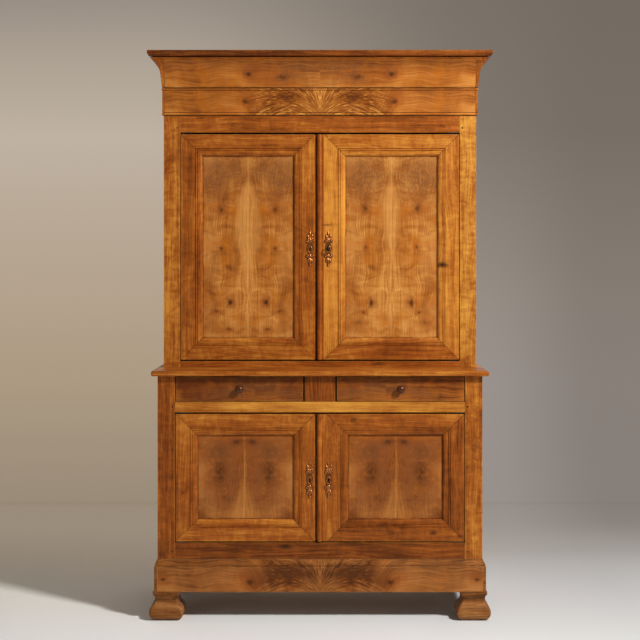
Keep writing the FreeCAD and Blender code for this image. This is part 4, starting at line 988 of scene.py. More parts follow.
        # painted shade: a dark line along the top and bottom edges of a level figured board, where it
        # meets the next
        if self.figure is not None and self.figure.level:
            joint = mix.add("MapRange", "SMOOTHSTEP", [c, 0.0006, 0.0030, 0.95, 0.0])
            grime_and_shade_mask = mix.add("Math", "MAXIMUM", [grime_and_shade_mask, joint])
        # painted shade with grime in the foot's neck under the plinth and along its lowest edge at the
        # floor
        if self.neck:
            height = mix.add("SeparateXYZ", None, [here]).outputs[2]
            off = mix.add("Math", "SUBTRACT", [height, self.neck])
            off = mix.add("Math", "ABSOLUTE", [off])
            neck_grime_and_shade = mix.add("MapRange", "SMOOTHSTEP", [off, 0.002, 0.017, 0.75, 0.0])
            floor_grime_and_shade = mix.add("MapRange", "SMOOTHSTEP", [height, 0.003, 0.012, 0.8, 0.0])
            grime_and_shade_mask = mix.add("Math", "MAXIMUM", [grime_and_shade_mask, neck_grime_and_shade])
            grime_and_shade_mask = mix.add("Math", "MAXIMUM", [grime_and_shade_mask, floor_grime_and_shade])
        grime_and_shade_mask = mix.add("Math", "MULTIPLY", [grime_and_shade_mask, patchy])
        # one dark colour paints both the grime and the painted shade
        colour = mix.add("MixRGB", None, [grime_and_shade_mask, colour, self.grime_and_shade])
        bare = mix.add("MapRange", "SMOOTHSTEP", [edge, 0.0005, 0.0026, 0.42, 0.0])
        bare = mix.add("Math", "MULTIPLY", [bare, patchy])
        return mix.add("MixRGB", None, [bare, colour, self.light])


@dataclass(frozen=True)
class Metal(Finish):
    """Brass or iron with a worn, uneven surface.

    Args:
        clean: colour of the bare metal.
        stained: colour of its tarnish or rust.
        roughness: of the clean metal.
        grit: size of the stains, in metres.
        amount: how much of it is stained, from 0 to 1.
    """

    clean: str
    stained: str
    roughness: float
    grit: float = 0.004
    amount: float = 0.5

    def material(self) -> bpy.types.Material:
        """Build the finish.

        Returns:
            The finished material.
        """
        mix = Recipe(self.name)
        here = mix.add("TexCoord").outputs["Object"]
        stain = mix.add("TexNoise", None, {"Vector": here, "Scale": 1 / self.grit, "Detail": 5.0,
                                           "Roughness": 0.65})
        stock = mix.add("Attribute", "stock").outputs["Vector"]
        tone = mix.add("SeparateXYZ", None, [stock])
        laid = mix.add("Math", "MULTIPLY_ADD", [tone, -0.22, stain])
        cover = mix.add("MapRange", None, [laid, 0.54 - self.amount * 0.3, 0.86 - self.amount * 0.3])
        colour = mix.add("MixRGB", None, [cover, self.clean, self.stained])
        rough = mix.add("MapRange", None,
                        {0: cover, 3: self.roughness, 4: min(1.0, self.roughness + 0.3)})
        bump = mix.add("Bump", None, {"Strength": 0.35, "Distance": 0.0003, "Height": stain})
        shader = mix.add("BsdfPrincipled", None, {"Base Color": colour, "Metallic": 1.0,
                                                  "Roughness": rough, "Normal": bump})
        mix.add("OutputMaterial", None, [shader])
        return mix.material


# Cherry, planed and waxed: amber-brown, with a silky ripple and dark joints
CHERRY = Timber("waxed_cherry", Slot.PLAIN, "#54260b", "#99541a", "#d09038", knots=(
    (-0.139, BASE_Y, 0.291, 0.027, 0.009, 1.3), (0.133, BASE_Y, 0.798, 0.012, 0.010, 0.7),
    (0.453, BASE_Y, 0.346, 0.015, 0.009, 0.9), (0.561, BASE_Y, 0.334, 0.010, 0.005, 0.7),
    (-0.551, BASE_Y, 0.506, 0.006, 0.007, 0.6), (-0.103, BASE_Y, 0.798, 0.014, 0.008, 0.4),
    (0.503, UPPER_Y, 1.418, 0.020, 0.010, 1.0), (0.030, UPPER_Y, 1.583, 0.020, 0.004, 0.6),
    (0.240, UPPER_Y, 1.010, 0.028, 0.006, 0.75), (0.628, BASE_Y, 0.700, 0.010, 0.014, 0.4),
    (-0.350, UPPER_Y, 1.995, 0.016, 0.008, 0.35)))
# The same cherry near the floor, scuffed and washed out, with little wax left, and painted shade with
# grime at the feet's necks and lowest edges
SCUFFED = Timber("scuffed_cherry", Slot.PLAIN, "#4e2a12", "#915a2c", "#c79a64", roughness=0.5,
                 wax=0.0, contrast=1.15, neck=0.088)
# Planed poplar inside and behind: pale, dry and dusty
POPLAR = Timber("planed_poplar", Slot.SECONDARY, "#7c5630", "#a9814f", "#c9a878", "#3a2412",
                ring=0.006, roughness=0.6, wax=0.0, contrast=0.7)
# Stained fruitwood turned and polished: nearly black-brown
DARK = Timber("turned_dark_fruitwood", Slot.KNOB, "#2a1109", "#45200f", "#6a3a20",
              roughness=0.28, wax=0.5)
# Thin brass stamped over a die, reddish, rubbed bright on the high parts
BRASS = Metal("stamped_brass", Slot.BRASS, "#b06e3c", "#54280f", 0.4, 0.0022, 0.6)
# Forged iron, blacked and waxed
IRON = Metal("waxed_iron", Slot.IRON, "#4b4a45", "#241a14", 0.42, 0.003, 0.6)


def figured(name: str, figure: Figure, rebate: float = 0.0, burr_dark: float = 0.8,
            burr_gold: float = 0.5, worn: bool = False) -> Timber:
    """Cherry with a matched figure.

    Args:
        name: the finish's name.
        figure: its seam, flame and knots.
        rebate: width of the margin that is hidden in a frame; a band of painted shade lies just inside
            it.
        burr_dark: how much dark feather its burr has.
        burr_gold: how much gold feather its burr has.
        worn: it is scuffed and washed out.

    Returns:
        The finish.
    """
    tints = ("#5a3014", "#a16732", "#d3a062") if worn else ("#5f2b0e", "#a56123", "#d99c4e")
    return Timber(name, Slot.FIGURED, *tints, ripple=(34.0, 15.0, 15.0), rebate=rebate,
                  burr_dark=burr_dark, burr_gold=burr_gold, figure=figure)


@dataclass
class Stand:
    """Cushion feet and the moulded plinth over them.

    Args:
        foot_x: middle of each foot, across.
        front_y: middle of the front feet, in depth.
        rear_y: where the rear feet's cushion starts; they are flat behind.
        corner: rounding of their upright corners.
        foot: how far a foot stands out at each height.
        plinth: section of the plinth board.
    """

    foot_x: float = 0.6135
    front_y: float = -0.228
    rear_y: float = 0.241
    corner: float = 0.009
    foot: Outline = Outline((
        (0.0510, 0.000), (0.0675, 0.030, 0.036, Turn.LEFT), (0.0580, 0.058, 0.040, Turn.LEFT),
        (0.0465, 0.080, 0.024, Turn.RIGHT), (0.0545, 0.102, 0.030, Turn.RIGHT),
        (0.0545, 0.112)))
    plinth: Outline = Outline((
        (0.0130, 0.0), (0.0130, 0.1000), (0.0096, 0.1042), (0.0070, 0.1165, 0.011, Turn.LEFT),
        (0.0015, 0.130, 0.014, Turn.RIGHT), (0.0, 0.130), (0.0, 0.0)))

    def build(self) -> None:
        """Build the feet and the plinth."""
        feet = Piece("cushion_feet")
        for number, side in enumerate((-1, 1)):
            x = side * self.foot_x
            front = (x, self.front_y, 0.0)
            feet.stack(self.foot, front, front, False, self.corner,
                       Stock(Grain.LEVEL, 1.0 + number, -0.2, 0.2, 0.1))
            feet.stack(self.foot, (x, self.rear_y, 0.0), (x, BACK_Y, 0.0), True, self.corner,
                       Stock(Grain.LEVEL, 3.0 + number, 0.0, 0.2, 0.3))
        feet.finish("carcass", ["feet"], SCUFFED)
        figure = Figure(0.0, 0.165, 0.06, level=True, burr=(0.30, 0.055), amber=0.2, spots=(
            Spot(0.122, -0.020, 0.012, 0.009, 1.0, 0.8, 0.5),
            Spot(0.275, -0.009, 0.022, 0.013, 0.75, 0.8, 0.5),
            Spot(0.110, 0.020, 0.075, 0.024, 0.12, 0.3, 0.9),
            Spot(0.250, 0.022, 0.060, 0.018, 0.0, 0.3, 0.5),
            Spot(0.628, 0.004, 0.011, 0.009, 0.8, 0.8, 0.4)))
        half = BaseCarcass.half
        front = Piece("plinth_board_front")
        front.sweep(self.plinth, [Station(Vector((x, BASE_Y, BASE_Z)), -Y_WAY) for x in (-half, half)],
                    Stock(Grain.LEVEL, 5.0, -0.3, 0.3, 0.3))
        look = figured("burred_cherry_plinth", figure, 0.0, 0.95, 0.25, True)
        front.finish("carcass", ["plinth_front"], look)
        sides = Piece("plinth_boards_side")
        for side in (-1, 1):
            corner, rear = (Vector((side * half, y, BASE_Z)) for y in (BASE_Y, BACK_Y))
            sides.sweep(self.plinth, [
                Station(corner, -Y_WAY), Station(corner, X_WAY * side - Y_WAY),
                Station(rear, X_WAY * side)], Stock(Grain.DEEP, 6.0 + side, -0.2, 0.3, 0.4))
        sides.finish("carcass", ["plinth_sides"], SCUFFED)


@dataclass
class Peg:
    """Draw-bore peg that shows in a post.

    Args:
        x: its place across.
        z: its height.
        front: front plane of the post.
        radius: of the peg.
        proud: how far it stands out of the post.
        depth: how far it goes in.
    """

    x: float
    z: float
    front: float
    radius: float = 0.0035
    proud: float = 0.0004
    depth: float = 0.016

    def add_to(self, piece: Piece, seed: float) -> None:
        """Add the peg to a piece.

        Args:
            piece: the piece that gathers the pegs.
            seed: sets its timber apart.
        """
        dome = Outline(((0.0, self.depth + self.proud), (self.radius, self.depth + self.proud),
                        (self.radius, 0.0004), (self.radius - 0.0006, 0.0), (0.0, 0.0)))
        piece.turned(dome, Vector((self.x, self.front - self.proud, self.z)), Y_WAY, X_WAY,
                     Stock(Grain.DEEP, seed, -0.9, 0.0, 0.6), 16)


@dataclass
class Carcass:
    """Posts, rails, sides and boards of one body.

    Args:
        name: "base" or "upper".
        front: its front plane.
        foot: its lower end.
        head: its upper end.
        half: half width over the posts.
        inner: half width between the posts.
        wall: half width inside the side frames.
        panel: inner and outer planes of a side panel, across.
    """

    name: str
    front: float
    foot: float
    head: float
    half: float
    inner: float
    wall: float
    panel: tuple[float, float]

    def posts(self, left: Stock, right: Stock) -> None:
        """Build the two front posts.

        Args:
            left: timber of the left one.
            right: timber of the right one.
        """
        piece = Piece(self.name + "_posts")
        for side, stock in ((-1, left), (1, right)):
            near, far = sorted((side * self.inner, side * self.half))
            piece.board((near, self.front, self.foot), (far, self.front + POST_DEPTH, self.head), stock)
        piece.finish("carcass", [self.name + "_front_posts"], CHERRY)

    def rail(self, place: str, low: float, high: float, stock: Stock) -> None:
        """Build a rail between the front posts.

        Args:
            place: "bottom", "middle" or "top".
            low: its lower edge.
            high: its upper edge.
            stock: its timber.
        """
        piece = Piece(f"{self.name}_rail_{place}")
        piece.board((-self.inner, self.front, low), (self.inner, self.front + RAIL_DEPTH, high), stock)
        piece.finish("carcass", [f"{self.name}_{place}_rail"], CHERRY)

    def sides(self, sill: float, seed: float, tone: float) -> None:
        """Build the framed and panelled sides behind the front posts.

        Args:
            sill: top of the frames' lower rail.
            seed: sets their timber apart.
            tone: of the rear posts.
        """
        frames, panels = Piece(self.name + "_frames_side"), Piece(self.name + "_panels_side")
        post_y = self.front + POST_DEPTH
        for side in (-1, 1):
            low, high = sorted((side * self.half, side * self.wall))
            frames.board((low, REAR_POST_Y, self.foot), (high, BACK_Y, self.head),
                         Stock(Grain.UPRIGHT, seed + side, tone, 0.4, 0.4))
            rails = ((self.foot, sill), (self.head - SIDE_RAIL, self.head))
            for number, (start, end) in enumerate(rails, 1):
                frames.board((low, post_y, start), (high, REAR_POST_Y, end),
                             Stock(Grain.DEEP, seed + 3 * number + side, -0.1, 0.3, 0.4))
            near, far = sorted(side * x for x in self.panel)
            panels.board((near, post_y, sill), (far, REAR_POST_Y, self.head - SIDE_RAIL),
                         Stock(Grain.UPRIGHT, seed + 9 + side, 0.15, 0.5, 0.3))
        frames.finish("carcass", [self.name + "_side_frames"], CHERRY)
        panels.finish("carcass", [self.name + "_side_panels"], CHERRY)

    def board(self, place: str, top: float, seed: float) -> None:
        """Build a level board that is notched round the front posts.

        Args:
            place: "bottom" or "ceiling".
            top: its upper face.
            seed: sets its timber apart.
        """
        piece = Piece(f"{self.name}_board_{place}")
        inner, wall, z = self.inner, self.wall, top - BOARD
        rail_y, post_y = self.front + RAIL_DEPTH, self.front + POST_DEPTH
        plan = Outline(((-inner, rail_y), (inner, rail_y), (inner, post_y), (wall, post_y),
                        (wall, INNER_BACK_Y), (-wall, INNER_BACK_Y), (-wall, post_y),
                        (-inner, post_y)))
        piece.sweep(plan, [Station(Vector((0, 0, z + rise)), X_WAY, Y_WAY) for rise in (0, BOARD)],
                    Stock(Grain.SHELF, seed, 0.0, 0.1, 0.2), 0.0008, False)
        piece.finish("carcass", [f"{self.name}_{place}_board"], POPLAR)

    def back(self, count: int, seed: float) -> None:
        """Build nailed upright boards across the back, with a hairline between them.

        Args:
            count: how many there are.
            seed: sets their timber apart.
        """
        piece, nails = Piece(self.name + "_boards_back"), Piece(self.name + "_nails_back")
        head = Outline(((0.0, -0.0004), (0.0012, -0.0004), (0.0030, 0.0008, 0.004, Turn.LEFT),
                        (0.0030, 0.0030), (0.0, 0.0030)))
        width, low, high = 2 * self.wall / count, self.foot, self.head
        for number in range(count):
            start = number * width - self.wall
            piece.board((start, INNER_BACK_Y, low), (start + width - HAIRLINE, BACK_Y - 0.0006, high),
                        Stock(Grain.UPRIGHT, seed + number, (number % 3 - 1) * 0.2, 0.1, 0.2), 0.001)
            for across in (0.15, 0.5, 0.85):
                for z in (low + 0.010, (low + high) / 2, high - 0.010):
                    nails.turned(head, Vector((start + width * across, BACK_Y - 0.0004, z)), -Y_WAY,
                                 X_WAY, Stock(Grain.DEEP, number + across), 10)
        piece.finish("carcass", [self.name + "_back_boards"], POPLAR)
        nails.finish("carcass", [], IRON)


@dataclass
class BaseCarcass(Carcass):
    """The lower body, with the block between its drawers and their runners.

    Args:
        divider: half width and depth of the block between the drawers.
        runner: where a drawer runner starts, across.
        guide: inner and outer planes of a drawer guide, across.
        middle_runner: half width of the runner between the drawers.
        middle_guide: half width of the guide on it.
        rear_rail: thickness of the rail behind the drawers.
    """

    name: str = "base"
    front: float = BASE_Y
    foot: float = BASE_Z
    head: float = WAIST_Z
    half: float = 0.650
    inner: float = 0.580
    wall: float = 0.626
    panel: tuple[float, float] = (0.628, 0.642)
    divider: tuple[float, float] = (0.061, 0.030)
    runner: float = 0.548
    guide: tuple[float, float] = (0.578, 0.598)
    middle_runner: float = 0.100
    middle_guide: float = 0.0665
    rear_rail: float = 0.024

    def build(self) -> None:
        """Build the lower carcass."""
        self.posts(Stock(Grain.UPRIGHT, 10.0, -0.3, 0.6, 0.4),
                   Stock(Grain.UPRIGHT, 11.0, -0.2, 0.8, 0.2))
        self.sides(LOWER_OPENING_Z, 17.0, -0.2)
        self.rail("bottom", BASE_Z, LOWER_OPENING_Z, Stock(Grain.LEVEL, 14.0, -0.82, 0.3, 0.3))
        self.rail("middle", MIDDLE_RAIL_Z, DRAWER_Z, Stock(Grain.LEVEL, 15.0, 0.38, 0.3, 0.1))
        block = Piece("drawer_divider_block")
        width, depth = self.divider
        block.board((-width, BASE_Y, DRAWER_Z), (width, BASE_Y + depth, WAIST_Z),
                    Stock(Grain.UPRIGHT, 16.0, -0.5, 0.3, 0.4))
        block.finish("carcass", ["drawer_divider"], CHERRY)
        self.board("bottom", LOWER_OPENING_Z, 30.0)
        self.back(4, 31.0)
        self.runners()

    def runners(self) -> None:
        """Build the runners and guides of the drawers, and the rail behind them."""
        piece = Piece("drawer_runner_set")
        rail_y, post_y = BASE_Y + RAIL_DEPTH, BASE_Y + POST_DEPTH
        rear_y = INNER_BACK_Y - self.rear_rail
        low, top = DRAWER_Z - BOARD, DRAWER_Z + BOARD
        for side in (-1, 1):
            # a runner is narrower beside the post and reaches the side frame behind it
            for far, y, stop in ((self.inner, rail_y, post_y), (self.wall, post_y, rear_y)):
                start, end = sorted((side * self.runner, side * far))
                piece.board((start, y, low), (end, stop, DRAWER_Z),
                            Stock(Grain.DEEP_SHELF, 36.0 + side, 0.1, 0.1, 0.1), 0.0002)
            start, end = sorted(side * x for x in self.guide)
            piece.board((start, post_y, DRAWER_Z), (end, rear_y, top),
                        Stock(Grain.DEEP, 39.0 + side, 0.1, 0.1, 0.1))
        piece.board((-self.middle_runner, rail_y, low), (self.middle_runner, rear_y, DRAWER_Z),
                    Stock(Grain.DEEP_SHELF, 42.0, 0.1, 0.1, 0.1), 0.0002)
        piece.board((-self.middle_guide, BASE_Y + self.divider[1], DRAWER_Z),
                    (self.middle_guide, rear_y, top), Stock(Grain.DEEP, 43.0, 0.1, 0.1, 0.1))
        piece.board((-self.wall, rear_y, MIDDLE_RAIL_Z), (self.wall, INNER_BACK_Y, DRAWER_Z),
                    Stock(Grain.LEVEL, 44.0, 0.0, 0.1, 0.1))
        piece.finish("carcass", ["drawer_runners"], POPLAR)


@dataclass
class UpperCarcass(Carcass):
    """The upper body."""

    name: str = "upper"
    front: float = UPPER_Y
    foot: float = UPPER_Z
    head: float = CORNICE_Z
    half: float = 0.645
    inner: float = 0.577
    wall: float = 0.621
    panel: tuple[float, float] = (0.623, 0.637)

    def build(self) -> None:
        """Build the upper carcass."""
        self.posts(Stock(Grain.UPRIGHT, 50.0, 0.25, 0.9, 0.3),
                   Stock(Grain.UPRIGHT, 51.0, 0.4, 1.0, 0.0))
        self.sides(UPPER_Z + SIDE_RAIL, 53.0, -0.1)
        self.rail("bottom", UPPER_Z, UPPER_OPENING_Z, Stock(Grain.LEVEL, 65.0, -0.2, 0.3, 0.4))
        self.rail("top", TOP_RAIL_Z, CORNICE_Z, Stock(Grain.LEVEL, 66.0, -0.08, 0.5, 0.4))
        self.board("bottom", UPPER_OPENING_Z, 67.0)
        self.board("ceiling", CORNICE_Z, 68.0)
        self.back(5, 70.0)


@dataclass
class Shelving:
    """Shelves of both bodies on their cleats.

    Args:
        base_z: underside of the lower body's shelf.
        upper_z: undersides of the upper body's shelves.
        gap: play at each end of a shelf.
        setback: from the front plane to a shelf.
        cleat: height of a cleat.
        cleat_width: width of a cleat.
    """

    base_z: float = 0.552
    upper_z: tuple[float, ...] = (1.26644, 1.50244, 1.73372)
    gap: float = 0.003
    setback: float = 0.060
    cleat: float = 0.024
    cleat_width: float = 0.020

    def build(self) -> None:
        """Build the shelves and cleats."""
        cleats = Piece("shelf_cleat_set")
        lower = Piece("base_shelf_board")
        self.shelf(lower, cleats, BaseCarcass.wall, BASE_Y, self.base_z, 75.0)
        lower.finish("carcass", ["base_shelf"], POPLAR)
        upper = Piece("upper_shelf_boards")
        for number, z in enumerate(self.upper_z):
            self.shelf(upper, cleats, UpperCarcass.wall, UPPER_Y, z, 76.0 + number)
        upper.finish("carcass", ["upper_shelves"], POPLAR)
        cleats.finish("carcass", ["shelf_cleats"], POPLAR)

    def shelf(self, piece: Piece, cleats: Piece, wall: float, front: float, z: float,
              seed: float) -> None:
        """Add one shelf and its two cleats.

        Args:
            piece: gets the shelf.
            cleats: gets the cleats.
            wall: half width of the body inside.
            front: front plane of the body.
            z: underside of the shelf.
            seed: sets its timber apart.
        """
        piece.board((self.gap - wall, front + self.setback, z),
                    (wall - self.gap, INNER_BACK_Y, z + BOARD),
                    Stock(Grain.SHELF, seed, 0.0, 0.1, 0.2), 0.0015)
        for side in (-1, 1):
            low, high = sorted((side * wall, side * (wall - self.cleat_width)))
            cleats.board((low, front + POST_DEPTH, z - self.cleat), (high, INNER_BACK_Y, z),
                         Stock(Grain.DEEP, seed + 10 + side, -0.1, 0.1, 0.2))


@dataclass
class Crown:
    """Waist board, frieze, cove and top.

    Args:
        lip: how far the side boards' moulding stands over the front board's end.
        wall: thickness of the cornice boards.
        waist_half: half width of the waist board.
        waist_front: its front edge.
        top_half: half width of the cornice top.
        top_front: its front edge.
        frieze: moulded outer side of the frieze.
        cove: moulded outer side of the cove.
        top: edge of the cornice top.
        waist: edge of the waist board.
    """

    lip: float = 0.003
    wall: float = 0.016
    waist_half: float = 0.673
    waist_front: float = -0.2925
    top_half: float = 0.707
    top_front: float = -0.1665
    frieze: Outline = Outline((
        (0.0025, 0.0), (0.008, 0.0055, 0.0055, Turn.LEFT), (0.0025, 0.011, 0.0055, Turn.LEFT),
        (0.006, 0.013), (0.006, 0.101), (0.0045, 0.103), (0.009, 0.1075, 0.0045, Turn.LEFT),
        (0.0045, 0.112, 0.0045, Turn.LEFT)))
    cove: Outline = Outline((
        (0.002, 0.0), (0.002, 0.0025), (0.007, 0.0035), (0.012, 0.049),
        (0.040, 0.110, 0.084, Turn.RIGHT), (0.040, 0.115),
        (0.0445, 0.1195, 0.0045, Turn.LEFT), (0.040, 0.124, 0.0045, Turn.LEFT),
        (0.040, 0.125)), 6.0)
    top: Outline = Outline((
        (-0.009, 0.0), (0.0, 0.015, 0.018, Turn.LEFT), (0.0, 0.020),
        (-0.004, 0.024, 0.004, Turn.LEFT)))
    waist: Outline = Outline((
        (-0.006, 0.0), (0.0, 0.006, 0.006, Turn.LEFT), (0.0, 0.015),
        (-0.006, 0.021, 0.006, Turn.LEFT)))

    def build(self) -> None:
        """Build the waist board and the cornice."""
        waist = Piece("waist_moulded_board")
        waist.stack(self.waist, (-self.waist_half, self.waist_front, WAIST_Z),
                    (self.waist_half, BACK_Y, WAIST_Z), True, 0.004,
                    Stock(Grain.SHELF, 80.0, 0.0, 0.4, 0.3))
        waist.finish("carcass", ["waist_board"], CHERRY)
        burr = Figure(0.0, 2.085, 0.05, level=True, burr=(0.33, 0.055), amber=0.45, spots=(
            Spot(0.146, 0.026, 0.040, 0.014, 0.35, 0.3, 0.8),
            Spot(0.110, -0.020, 0.060, 0.018, 0.0, 0.3, 0.25),
            Spot(0.300, 0.010, 0.018, 0.012, 0.8, 0.8, 0.5)))
        self.ring("frieze", self.frieze, CORNICE_Z, 81.0, burr)
        knots = Figure(0.0, 2.205, 0.06, level=True, amber=0.45, spots=(
            Spot(0.290, 0.002, 0.014, 0.010, 1.0, 0.9, 0.5, 1.0),
            Spot(0.155, -0.014, 0.026, 0.012, 0.7, 0.9, 0.4, 1.2),
            Spot(0.090, 0.026, 0.050, 0.016, 0.0, 0.8, 0.45, 0.5),
            Spot(0.060, -0.020, 0.050, 0.014, 0.0, 0.6, 0.3)))
        self.ring("cornice_cove", self.cove, COVE_Z, 85.0, knots)
        top = Piece("cornice_top_board")
        top.stack(self.top, (-self.top_half, self.top_front, TOP_Z), (self.top_half, BACK_Y, TOP_Z),
                  True, 0.003, Stock(Grain.SHELF, 89.0, -0.68, 0.4, 0.3))
        top.finish("carcass", ["cornice_top"], CHERRY)

    def ring(self, node: str, edge: Outline, z: float, seed: float, figure: Figure) -> None:
        """Build one tier of the cornice.

        Args:
            node: the node that it stands for.
            edge: its moulded outer side.
            z: its lower edge.
            seed: sets its timber apart.
            figure: the figure of its front board.
        """
        half, height = UpperCarcass.half, edge.steps[-1][1]
        joint = half - self.lip
        front = Piece(node + "_board_front")
        thick = Outline(edge.steps + ((-self.wall, height), (-self.wall, 0.0)), edge.facet)
        front.sweep(thick, [Station(Vector((-joint, UPPER_Y, z)), -Y_WAY),
                            Station(Vector((joint, UPPER_Y, z)), -Y_WAY)],
                    Stock(Grain.LEVEL, seed, -0.12, 0.3, 0.2))
        front.finish("carcass", [node], figured("burred_cherry_" + node, figure, 0.0, 0.82, 1.0))
        sides = Piece(node + "_boards_side")
        thin = Outline(edge.steps + ((-self.lip, height), (-self.lip, 0.0)), edge.facet)
        for side in (-1, 1):
            corner = Vector((side * half, UPPER_Y, z))
            sides.sweep(thin, [
                Station(Vector((side * joint, UPPER_Y, z)), -Y_WAY),
                Station(corner, X_WAY * side - Y_WAY),
                Station(Vector((side * half, BACK_Y, z)), X_WAY * side)],
                Stock(Grain.DEEP, seed + 2 + side, 0.1, 0.4, 0.35))
            low, high = sorted((side * joint, side * (half - self.wall)))
            sides.board((low, UPPER_Y + self.wall, z), (high, BACK_Y - REAR_BOARD, z + height),
                        Stock(Grain.DEEP, seed + 2 + side, 0.0, 0.2, 0.3), 0.0003)
        wall_x = half - self.wall
        sides.board((-wall_x, BACK_Y - REAR_BOARD, z), (wall_x, BACK_Y, z + height),
                    Stock(Grain.LEVEL, seed + 1, -0.3, 0.1, 0.3), 0.0006)
        sides.finish("carcass", [], CHERRY)


@dataclass
class Door:
    """One door: mitred frame, panel, and on the right hand its beaded meeting strip.

    Args:
        key: the body's name.
        side: -1 for a left-hand door, 1 for a right-hand one.
        upper: it is in the upper body.
        left: its left edge.
        right: its right edge.
        low: its lower edge.
        high: its upper edge.
        member: width of the frame's members.
        keyhole: across and height of its keyhole.
        figure: the matched figure of its panel.
        thick: thickness of the members.
        tone: of the bottom, right, top and left members and the panel.
        hole: outline of the keyhole.
        play: gap left at each mitre.
        tongue: how much of each side of the panel its groove hides.
        panel_back: how far the panel's face lies behind the front.
        panel_thick: thickness of the panel at its rim.
        strip_start: left edge of the meeting strip.
    """

    key: str
    side: int
    upper: bool
    left: float
    right: float
    low: float
    high: float
    member: float
    keyhole: tuple[float, float]
    figure: Figure
    thick: float = 0.026
    tone: tuple[float, ...] = (0.0, 0.0, 0.0, 0.0, 0.0)
    play: float = 0.00012
    tongue: float = 0.008
    panel_back: float = 0.012
    panel_thick: float = 0.007
    strip_start: float = -0.012
    hole: Outline = Outline((
        (-0.002, -0.013), (0.002, -0.013), (0.002, -0.00287), (0.0035, 0.0, 0.0035, Turn.LEFT),
        (0.0, 0.0035, 0.0035, Turn.LEFT), (-0.0035, 0.0, 0.0035, Turn.LEFT),
        (-0.002, -0.00287, 0.0035, Turn.LEFT)), 20.0)

    @property
    def front(self) -> float:
        """Front plane of the door."""
        return UPPER_Y if self.upper else BASE_Y

    def profile(self) -> Outline:
        """Return the member's section: across from its outer edge, and back from its face."""
        w = self.member
        run = w - 0.033  # the flat before the moulding
        return Outline((
            (0.0, 0.0), (run, 0.0), (run + 0.0022, 0.0044),
            (run + 0.0059, 0.0007, 0.0037, Turn.LEFT), (run + 0.0096, 0.0044, 0.0037, Turn.LEFT),
            (run + 0.0118, 0.0016), (w - 0.0125, 0.0024),
            (w - 0.0010, 0.0100, 0.0135, Turn.LEFT), (w, 0.0120), (w - 0.0083, 0.012),
            (w - 0.0083, 0.0193), (w, 0.0193), (w, self.thick), (0.0, self.thick)), 15.0)

    def build(self) -> None:
        """Build the door."""
        self.frame()
        self.panel()
        Escutcheon(self.key, self.keyhole, self.front, self.hole).build()
        if self.side > 0:
            self.strip()

    def frame(self) -> None:
        """Build the four mitred members, and the closing lip of a left-hand door."""
        piece = Piece(self.key + "_mitred_frame")
        corners = [Vector((x, self.front, z)) for x, z in (
            (self.left, self.low), (self.right, self.low), (self.right, self.high),
            (self.left, self.high))]
        inward = [Vector((1, 0, 1)), Vector((-1, 0, 1)), Vector((-1, 0, -1)), Vector((1, 0, -1))]
        seed = 100.0 + 10 * (2 * self.upper + (self.side > 0))
        meeting = 3 if self.side > 0 else 1
        for number in range(4):
            after = (number + 1) % 4
            way = (corners[after] - corners[number]).normalized()
            way *= self.play
            stations = [Station(corners[number] + way, inward[number], Y_WAY),
                        Station(corners[after] - way, inward[after], Y_WAY)]
            piece.run(self.profile(), stations)
            if number == meeting:
                middle = Vector((self.keyhole[0], self.front, self.keyhole[1]))
                through = self.side > 0
                piece.pierce(self.hole, middle, self.thick if through else 0.009, through)
            piece.soften(0.0006)
            grain = Grain.UPRIGHT if number % 2 else Grain.LEVEL
            piece.season(Stock(grain, seed + number, self.tone[number], 0.6, 0.35),
                         [stations[0].plane(), stations[1].plane()])
        if self.side < 0:
            piece.board((self.right, self.front + 0.018, self.low),
                        (self.right + 0.007, self.front + self.thick, self.high),
                        Stock(Grain.UPRIGHT, seed + 4, -0.3, 0.3, 0.4), 0.0005)
        piece.finish(self.key, [self.key + "_frame"], CHERRY)

    def panel(self) -> None:
        """Build the panel with its fielded back."""
        piece = Piece(self.key + "_matched_panel")
        reach = self.member - self.tongue
        y = self.front + self.panel_back
        low = Vector((self.left + reach, y, self.low + reach))
        high = Vector((self.right - reach, y + self.panel_thick, self.high - reach))
        made = bmesh.ops.create_cube(piece.bm, size=1.0)
        bmesh.ops.scale(piece.bm, vec=high - low, verts=made["verts"])
        bmesh.ops.translate(piece.bm, vec=(low + high) / 2, verts=made["verts"])
        back = max((f for v in made["verts"] for f in v.link_faces),
                   key=lambda f: f.calc_center_median().y)
        for width in (0.010, 0.020):
            bmesh.ops.inset_region(piece.bm, faces=[back], thickness=width, use_even_offset=True)
        bmesh.ops.translate(piece.bm, vec=(0, 0.005, 0), verts=list(back.verts))
        piece.season(Stock(Grain.UPRIGHT, 0.0, self.tone[4], 0.9, 0.1))
        piece.finish(self.key, [self.key + "_panel"], figured("matched_cherry_" + self.key, self.figure,
                                                              self.tongue))

    def strip(self) -> None:
        """Build the beaded strip on the meeting edge."""
        width = self.left - self.strip_start
        bead = Outline((
            (0.0, 0.0), (0.0, -self.thick), (width, -self.thick), (width, 0.0),
            (0.0216, 0.0), (0.0208, -0.0016), (0.020, 0.0),
            (0.010, 0.007, 0.0108, Turn.LEFT), (0.0, 0.0, 0.0108, Turn.LEFT)))
        piece = Piece(self.key + "_beaded_strip")
        piece.sweep(bead, [Station(Vector((self.strip_start, self.front, z)), X_WAY, -Y_WAY)
                           for z in (self.low, self.high)],
                    Stock(Grain.UPRIGHT, 150.0 + self.upper, -0.1, 0.5, 0.4), 0.0005)
        piece.finish(self.key, [self.key + "_bead_strip"], CHERRY)


